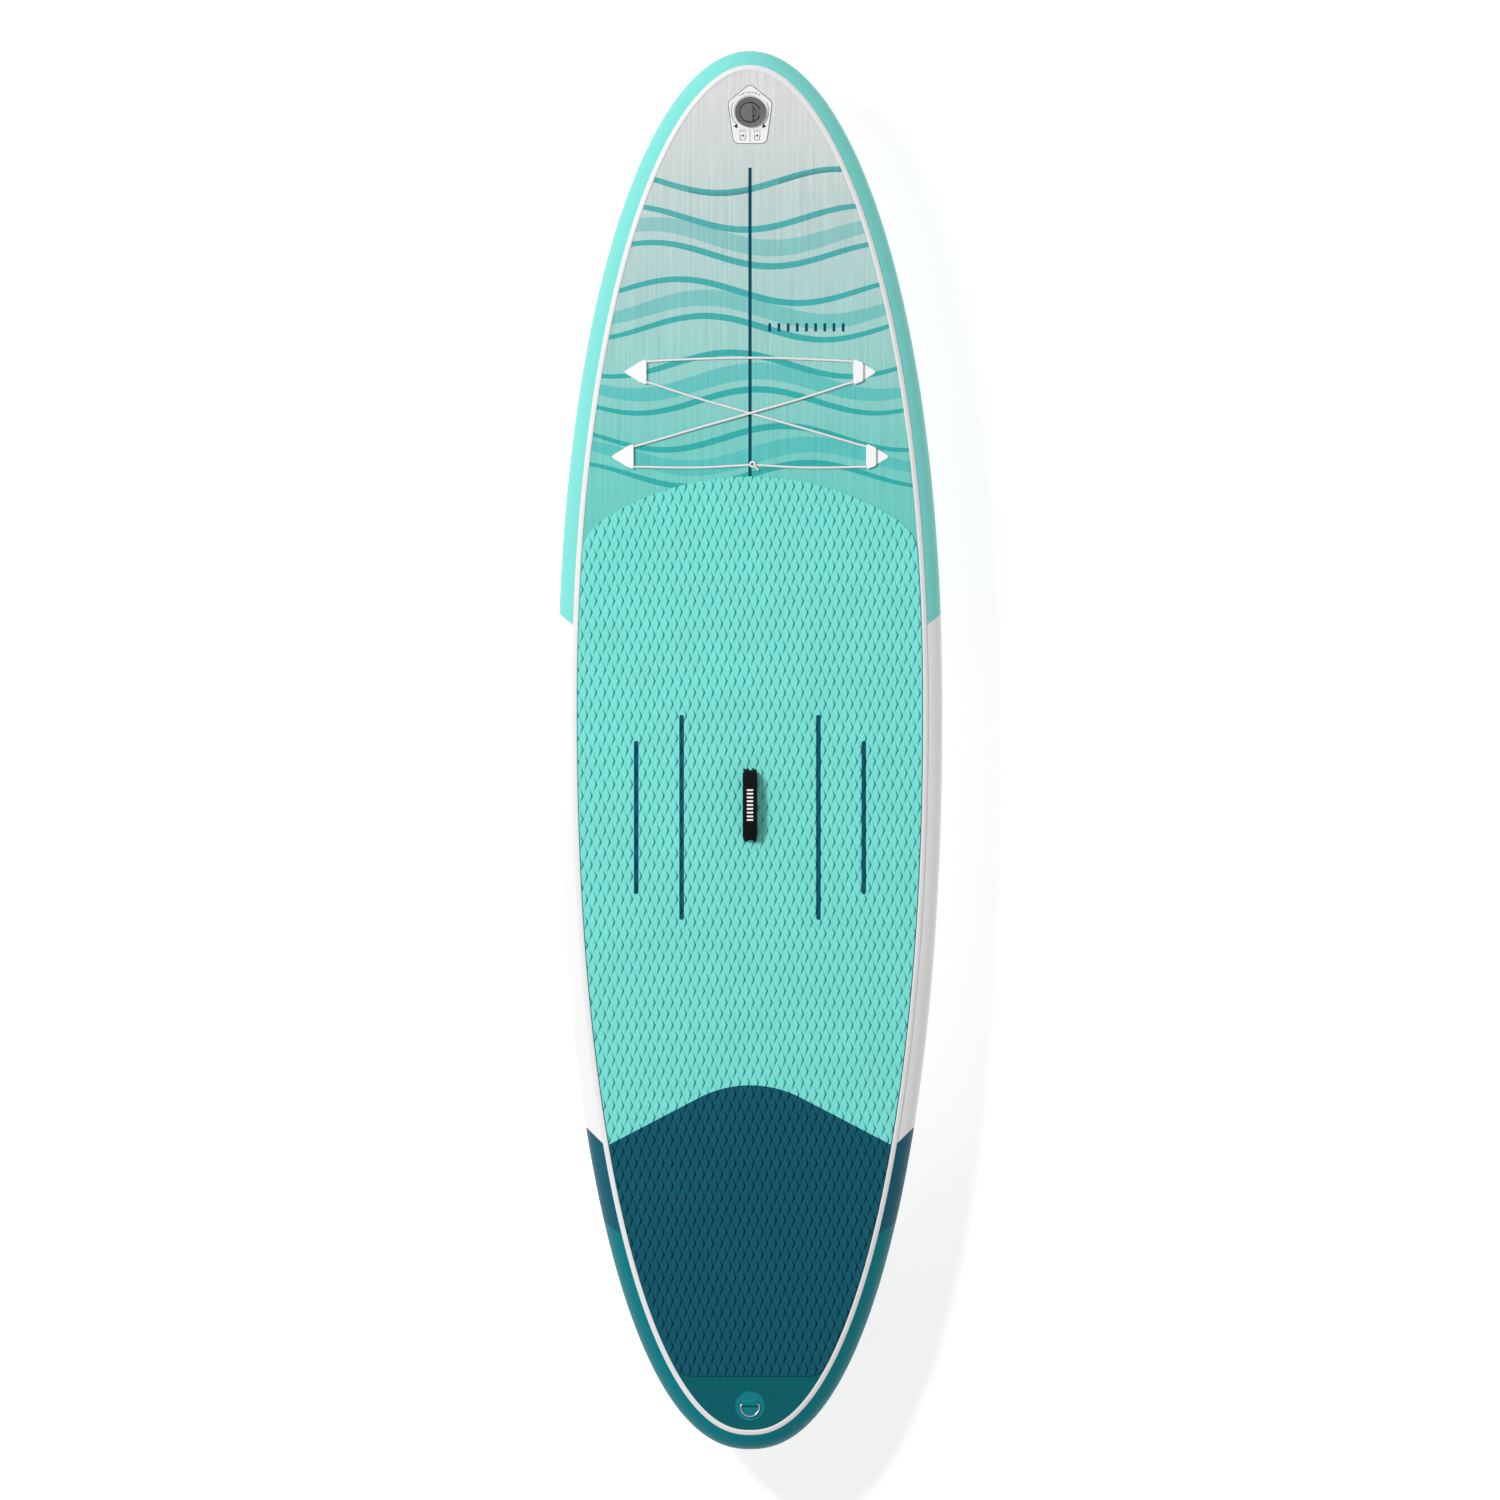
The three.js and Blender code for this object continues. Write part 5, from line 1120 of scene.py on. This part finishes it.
class PADDLEBOARD_OT_handle(bpy.types.Operator):
    """Sews the carry handle: webbing, padded sleeve, tabs and patches"""

    bl_idname = "paddleboard.handle"
    bl_label = "Carry handle"

    def execute(self, context):
        controls = [(-0.072, 0.018), (-0.064, 0.050), (0.064, 0.050), (0.072, 0.018)]

        def arch(t):
            weights = ((1 - t) ** 3, 3 * t * (1 - t) ** 2, 3 * t * t * (1 - t), t ** 3)
            along = sum(w * c[0] for w, c in zip(weights, controls))
            height = sum(w * c[1] for w, c in zip(weights, controls))
            return Vector((0, HANDLE_Y + along, PAD_TOP + height))

        def frame_at(t):
            ahead = (arch(min(t + 0.01, 1)) - arch(max(t - 0.01, 0))).normalized()
            return arch(t), Vector((0, -ahead.z, ahead.y))

        def band(path, width, thickness, crown=0.25):
            rings = []
            for i, point in enumerate(path):
                ahead = (path[min(i + 1, len(path) - 1)] - path[max(i - 1, 0)]).normalized()
                normal = Vector((0, -ahead.z, ahead.y))
                ring = []
                for k in range(16):
                    turn = 2 * math.pi * k / 16
                    x = math.copysign(abs(math.cos(turn)) ** crown, math.cos(turn)) * width / 2
                    n = math.copysign(abs(math.sin(turn)) ** 0.6, math.sin(turn)) * thickness / 2
                    ring.append(point + Vector((x, 0, 0)) + normal * n)
                rings.append(ring)
            return rings

        foot = Vector((0, HANDLE_Y - 0.072, PAD_TOP + 0.011))
        head = Vector((0, HANDLE_Y + 0.072, PAD_TOP + 0.011))
        path = [foot] + [arch(i / 40) for i in range(41)] + [head]
        webbing = show("handle_webbing_strap", loft("handle_webbing", band(path, 0.028, 0.002)),
                       finish("webbing_black"), "handle_grip", ("handle_webbing",), sharp=50)
        for name, end in (("front", 1), ("rear", -1)):
            y = HANDLE_Y + end * 0.0744
            strip = smooth_path([(0, y + end * 0.034, 0.1214), (0, y + end * 0.010, 0.1214),
                                 (0, y + end * 0.002, 0.1230), (0, y, 0.1262), (0, y, 0.1424)], 8)
            if end > 0:
                strip.reverse()
            show(f"handle_tab_{name}_strap", loft(f"handle_tab_{name}", band(strip, 0.028, 0.0018)),
                 finish("webbing_black"), "hull", (f"handle_tab_{name}",), sharp=50)
            refined(f"handle_patch_{name}", finish("patch_mint"), "hull")
        rings = []
        steps = 72
        for i in range(steps + 1):
            t = 0.05 + 0.9 * i / steps
            centre, normal = frame_at(t)
            from_end = min(i, steps - i) / steps * 0.158
            swell = math.sqrt(max(0.0, 1 - (1 - min(from_end / 0.005, 1)) ** 2))
            dip = 0.16 * math.exp(-((from_end - 0.008) / 0.0013) ** 2)
            ring = []
            for k in range(36):
                turn = 2 * math.pi * k / 36
                x = math.copysign(abs(math.cos(turn)) ** 0.62, math.cos(turn)) * 0.016 * (0.93 + 0.07 * swell)
                n = math.copysign(abs(math.sin(turn)) ** 0.85, math.sin(turn))
                n *= 0.006 * (0.28 + 0.72 * swell) * (1 - dip)
                ring.append(centre + Vector((x, 0, 0)) + normal * n)
            rings.append(ring)
        sleeve = show("handle_sleeve_padded", loft("handle_sleeve", rings), finish("neoprene_black"),
                      "handle_grip", ("handle_sleeve",), sharp=70)
        tree, keys = stitch_tree()
        rows = []
        for share in (0.05 + 0.9 * 0.008 / 0.158, 0.95 - 0.9 * 0.008 / 0.158):
            centre, normal = frame_at(share)
            line = []
            for k in range(25):
                turn = math.pi * (0.03 + 0.94 * k / 24)
                x = math.copysign(abs(math.cos(turn)) ** 0.62, math.cos(turn)) * 0.0158
                line.append(centre + Vector((x, 0, 0)) + normal * (0.0051 * math.sin(turn) ** 0.85))
            rows.append(line)
        for side in (-1, 1):
            line = []
            for i in range(61):
                centre, normal = frame_at(0.10 + 0.80 * i / 60)
                line.append(centre + Vector((side * 0.0148, 0, 0)) + normal * 0.0029)
            rows.append(line)
        seams = []
        for line in rows:
            base = bpy.data.meshes.new("stitch_line")
            base.from_pydata([tuple(p) for p in line], [(i, i + 1) for i in range(len(line) - 1)], [])
            seams.append(grown(base, tree, keys, {"Spacing": 0.0036, "Length": 0.0030, "Thickness": 0.0009,
                                                  "Material": finish("thread")}))
        show("handle_stitches", joined("handle_stitches", seams), finish("thread"), "handle_grip",
             sharp=80)
        bars = []
        length = 0.018
        for number in range(9):
            start = 0.332 + 0.0398 * number
            sections = []
            for i in range(9):
                t = start + length * i / 8
                section = []
                for x, rise in ((-0.0068, 0.0050), (0.0068, 0.0050), (0.0068, 0.00612), (0, 0.00622),
                                (-0.0068, 0.00612)):
                    centre, normal = frame_at(t)
                    section.append(centre + Vector((x, 0, 0)) + normal * rise)
                sections.append(section)
            bars.append(loft("bar", sections))
        show("handle_bars", joined("handle_bars", bars), finish("white_print"), "handle_grip",
             sharp=60)
        return {"FINISHED"}


class PADDLEBOARD_OT_anchors(bpy.types.Operator):
    """Finishes the four bungee anchors"""

    bl_idname = "paddleboard.anchors"
    bl_label = "Bungee anchors"

    def execute(self, context):
        for level in ("upper", "lower"):
            for side in ("left", "right"):
                refined(f"bungee_patch_{level}_{side}", finish("patch_white"), "hull", 40)
                refined(f"bungee_keeper_{level}_{side}", finish("patch_white"), "hull", 40,
                        0.0012)
        return {"FINISHED"}


class PADDLEBOARD_OT_valve(bpy.types.Operator):
    """Finishes the inflation valve, its cap and its printed label"""

    bl_idname = "paddleboard.valve"
    bl_label = "Inflation valve"

    def execute(self, context):
        for node, slot, body in (("valve_gasket", "valve_rubber", "hull"),
                                 ("valve_body", "valve_plastic", "hull"),
                                 ("valve_base", "valve_plastic", "hull"),
                                 ("valve_spring", "steel", "hull"),
                                 ("valve_diaphragm", "valve_rubber", "valve_plunger"),
                                 ("valve_stem", "stem_plastic", "valve_pin"),
                                 ("valve_cap_seal", "valve_rubber", "cap_carrier")):
            if node == "valve_spring":
                paint_node(node, slot)
            else:
                refined(node, finish(slot), body, 40)
        refined("valve_cap", finish("valve_plastic"), "cap_knob", 30, 0.0005)
        facet = math.radians(12.617)

        def arc(radius, start, end, steps):
            return [Vector((radius * math.cos(math.radians(start + (end - start) * i / steps)),
                            radius * math.sin(math.radians(start + (end - start) * i / steps)), 0)) * MM
                    for i in range(steps + 1)]

        # painted shade: thin black strips laid round the cap, along its recess edge, beside the grip and round
        # the grip's ends, where these recesses fall into shade
        grooves = (
            ([p + Vector((0, 0, 0.0103)) for p in arc(22.3, 20, 340, 60)], 0.0010),
            ([p + Vector((0, 0, 0.0104)) for p in arc(13.2, -72, 72, 24)], 0.0008),
            ([Vector((x, y, 0.0104)) for x, y in ((0.0064, 0.0125), (0.0062, 0.006), (0.0063, 0.0),
                                                  (0.0066, -0.006), (0.0070, -0.0125))], 0.0009),
            ([Vector((x, y, 0.01248)) for x, y in ((0.0062, 0.0134), (0.0058, 0.0165),
                                                   (0.0054, 0.0190))], 0.0007),
            ([Vector((x, y, 0.01248)) for x, y in ((0.0070, -0.0130), (0.0074, -0.0155), (0.0066, -0.0180),
                                                   (0.0040, -0.0192), (0.0010, -0.0190))], 0.0008),
        )
        lines = []
        for path, half in grooves:
            sections = []
            for i, point in enumerate(path):
                along = (path[min(i + 1, len(path) - 1)] - path[max(i - 1, 0)]).normalized()
                side = Vector((along.y, -along.x, 0)) * half
                up = Vector((0, 0, 0.00015))
                sections.append([point - side - up, point + side - up, point + side + up, point - side + up])
            lines.append(loft("cap_groove", sections))
        grooves = placed(joined("valve_cap_grooves", lines), Vector((0, VALVE_Y, 0.238934)), facet)
        show("valve_cap_grooves", grooves,
             finish("valve_rubber"), "cap_knob", sharp=60)
        label_top = 0.0012

        def flat(outline, low=label_top, high=label_top + 0.00012):
            mesh = prism("print", [Vector(p) * MM for p in outline], low, high)
            for vertex in mesh.vertices:
                vertex.co.y += VALVE_Y
                vertex.co.z += THICKNESS + lift(vertex.co.y)
            return mesh

        def ring_part(radius, width, start, end, steps=24):
            turns = [math.radians(start + (end - start) * i / steps) for i in range(steps + 1)]
            outer = [(radius * math.cos(turn), radius * math.sin(turn)) for turn in turns]
            inner = [(x * (radius - width) / radius, y * (radius - width) / radius) for x, y in outer]
            return flat(outer + inner[::-1])

        right = [(29, -71.6), (38, -64), (47, 0), (49.6, 21), (0, 61.5)]
        corners = [Vector(p) for p in right] + [Vector((-x, y)) for x, y in reversed(right[:-1])]
        rounded = []
        for i, corner in enumerate(corners):
            before, after = corners[i - 1], corners[(i + 1) % len(corners)]
            most = 13.0 if corner.x == 0 else 8.0
            cut = min(most, (before - corner).length / 2.2, (after - corner).length / 2.2)
            start = corner + (before - corner).normalized() * cut
            end = corner + (after - corner).normalized() * cut
            rounded += [start, *soft_corner(start, corner, end, 6), end]
        plate = layer([Vector((p.x * MM, VALVE_Y + p.y * MM)) for p in rounded], THICKNESS + 0.0004,
                      THICKNESS + label_top, 0.008)
        hole = prism("hole", [Vector((0.0346 * math.cos(a), VALVE_Y + 0.0346 * math.sin(a)))
                              for a in (2 * math.pi * i / 72 for i in range(72))], -1, 1)
        show("valve_label", carved(plate, hole, "DIFFERENCE"), finish("valve_label"), "hull",
             ("valve_surround",), sharp=40)

        def border(inset, width):
            sections = []
            for i, point in enumerate(rounded):
                ahead = (rounded[(i + 1) % len(rounded)] - rounded[i - 1]).normalized()
                inward = Vector((-ahead.y, ahead.x))
                section = []
                for depth, height in ((inset, label_top), (inset + width, label_top),
                                      (inset + width, label_top + 0.00012), (inset, label_top + 0.00012)):
                    spot = (point + inward * depth) * MM
                    y = VALVE_Y + spot.y
                    section.append((spot.x, y, THICKNESS + lift(y) + height))
                sections.append(section)
            return loft("border", sections, True)

        # the black line just inside the label's edge is print and also painted shade: it stands in for the dark
        # edge of the raised label
        black = [border(0.5, 1.3), ring_part(41.5, 1.1, 152, 222), ring_part(41.5, 1.1, -42, 28),
                 flat([(-35.5, -33.5), (-28.4, -26.0), (-26.5, -37.0)]),
                 flat([(35.5, -33.5), (26.5, -37.0), (28.4, -26.0)]),
                 flat([(-0.5, -40), (0.5, -40), (0.5, -67), (-0.5, -67)])]
        for side in (-1, 1):
            x = side * 15.5
            turns = [2 * math.pi * i / 20 for i in range(20)]
            black.append(flat([(x + 2.4 * math.cos(turn), -53 + 2.4 * math.sin(turn)) for turn in turns]))
            for lean in (-1, 1):
                black.append(flat([(x + lean * 7.0, -49), (x + lean * 5.8, -49), (x + lean * 4.4, -62),
                                   (x + lean * 5.6, -62)]))
            black.append(flat([(x - 5.6, -62), (x + 5.6, -62), (x + 5.6, -63), (x - 5.6, -63)]))
        grey = []
        for angle, span in ((58, 6), (68, 9), (80, 5), (88, 8), (99, 6), (108, 9), (120, 5)):
            grey.append(ring_part(42.5, 2.2, angle, angle + span, 6))
        for side in (-1, 1):
            for row in (-40, -43.5):
                x = side * 15.5
                grey.append(flat([(x - 8, row), (x + 8, row), (x + 8, row - 1.2), (x - 8, row - 1.2)]))
        for name, parts, key in (("valve_label_lines", black, "black_print"),
                                 ("valve_label_dashes", grey, "grey_print")):
            show(name, joined(name, parts), finish(key), "hull", sharp=60)
        return {"FINISHED"}


def paint_node(node, slot):
    """Gives a CAD node that stays in view its finish."""
    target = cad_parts[node]
    if not target.material_slots:
        target.data.materials.append(finish(slot))
    for place in target.material_slots:
        place.material = finish(slot)


class PADDLEBOARD_OT_leash(bpy.types.Operator):
    """Finishes the leash patch, its strap and the steel ring"""

    bl_idname = "paddleboard.leash"
    bl_label = "Leash point"

    def execute(self, context):
        refined("leash_patch", finish("rail_teal"), "hull", 40)
        refined("leash_strap", finish("rail_teal"), "hull", 40, 0.0004)
        path = []
        for cx, cy, radius, start, end, steps in ((17, -3, 3, 90, 0, 6), (0, -6, 20, 0, -180, 40),
                                                  (-17, -3, 3, 180, 90, 6)):
            for i in range(steps + 1):
                turn = math.radians(start + (end - start) * i / steps)
                path.append(Vector((cx + radius * math.cos(turn), cy + radius * math.sin(turn), 0)) * MM)
        ring = loft("leash_ring", tube_rings(path, 0.002, 16, True), True)
        slope = math.atan((lift(LEASH_Y + 0.001) - lift(LEASH_Y - 0.001)) / 0.002)
        ring.transform(Matrix.Rotation(slope + math.radians(3), 4, "X"))
        ring.transform(Matrix.Translation(Vector((0, -1.426497, 0.13355))))
        show("leash_ring_wire", ring, finish("steel"), "leash_loop", ("leash_ring",), sharp=80)
        return {"FINISHED"}


class PADDLEBOARD_OT_fins(bpy.types.Operator):
    """Finishes the fin box, the centre fin with its screw, and the side fins"""

    bl_idname = "paddleboard.fins"
    bl_label = "Fins"

    def execute(self, context):
        for node, slot, body, bevel in (
            ("fin_box_patch", "patch_white", "hull", 0.0003), ("fin_box", "fin_box_plastic", "hull", 0.0005),
            ("centre_fin", "fin_plastic", "fin_unit", 0.0), ("fin_pin", "brass", "fin_unit", 0.0002),
            ("fin_plate", "brass", "fin_unit", 0.0002), ("fin_screw", "steel", "screw_unit", 0.0002),
            ("side_fin_base_left", "patch_white", "hull", 0.0003),
            ("side_fin_base_right", "patch_white", "hull", 0.0003),
            ("side_fin_left", "fin_plastic", "hull", 0.0), ("side_fin_right", "fin_plastic", "hull", 0.0),
        ):
            refined(node, finish(slot), body, 40, bevel)
        return {"FINISHED"}


OPERATORS = (
    PADDLEBOARD_OT_stage, PADDLEBOARD_OT_bungee, PADDLEBOARD_OT_skins, PADDLEBOARD_OT_rails,
    PADDLEBOARD_OT_deck_print, PADDLEBOARD_OT_pads, PADDLEBOARD_OT_handle, PADDLEBOARD_OT_anchors,
    PADDLEBOARD_OT_valve, PADDLEBOARD_OT_leash, PADDLEBOARD_OT_fins,
)


class PADDLEBOARD_PT_build(bpy.types.Panel):
    """Lists the pieces in the order in which they are made"""

    bl_idname = "PADDLEBOARD_PT_build"
    bl_label = "Stand up paddleboard"
    bl_space_type = "VIEW_3D"
    bl_region_type = "UI"
    bl_category = "Paddleboard"

    def draw(self, context):
        for group in (context.scene.paddleboard_stage, context.scene.paddleboard_hull,
                      context.scene.paddleboard_pads):
            box = self.layout.box()
            for name in group.__annotations__:
                box.prop(group, name)
        for operator in OPERATORS:
            self.layout.operator(operator.bl_idname)


GROUPS = (("paddleboard_stage", PaddleboardStage), ("paddleboard_hull", PaddleboardHull),
          ("paddleboard_pads", PaddleboardPads))


def register():
    for _, group in GROUPS:
        bpy.utils.register_class(group)
    for name, group in GROUPS:
        setattr(bpy.types.Scene, name, bpy.props.PointerProperty(type=group))
    for operator in OPERATORS:
        bpy.utils.register_class(operator)
    bpy.utils.register_class(PADDLEBOARD_PT_build)


def unregister():
    bpy.utils.unregister_class(PADDLEBOARD_PT_build)
    for operator in reversed(OPERATORS):
        bpy.utils.unregister_class(operator)
    for name, group in reversed(GROUPS):
        delattr(bpy.types.Scene, name)
        bpy.utils.unregister_class(group)


def main():
    register()
    for operator in OPERATORS:
        family, name = operator.bl_idname.split(".")
        getattr(getattr(bpy.ops, family), name)()
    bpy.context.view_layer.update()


if __name__ == "__main__":
    main()
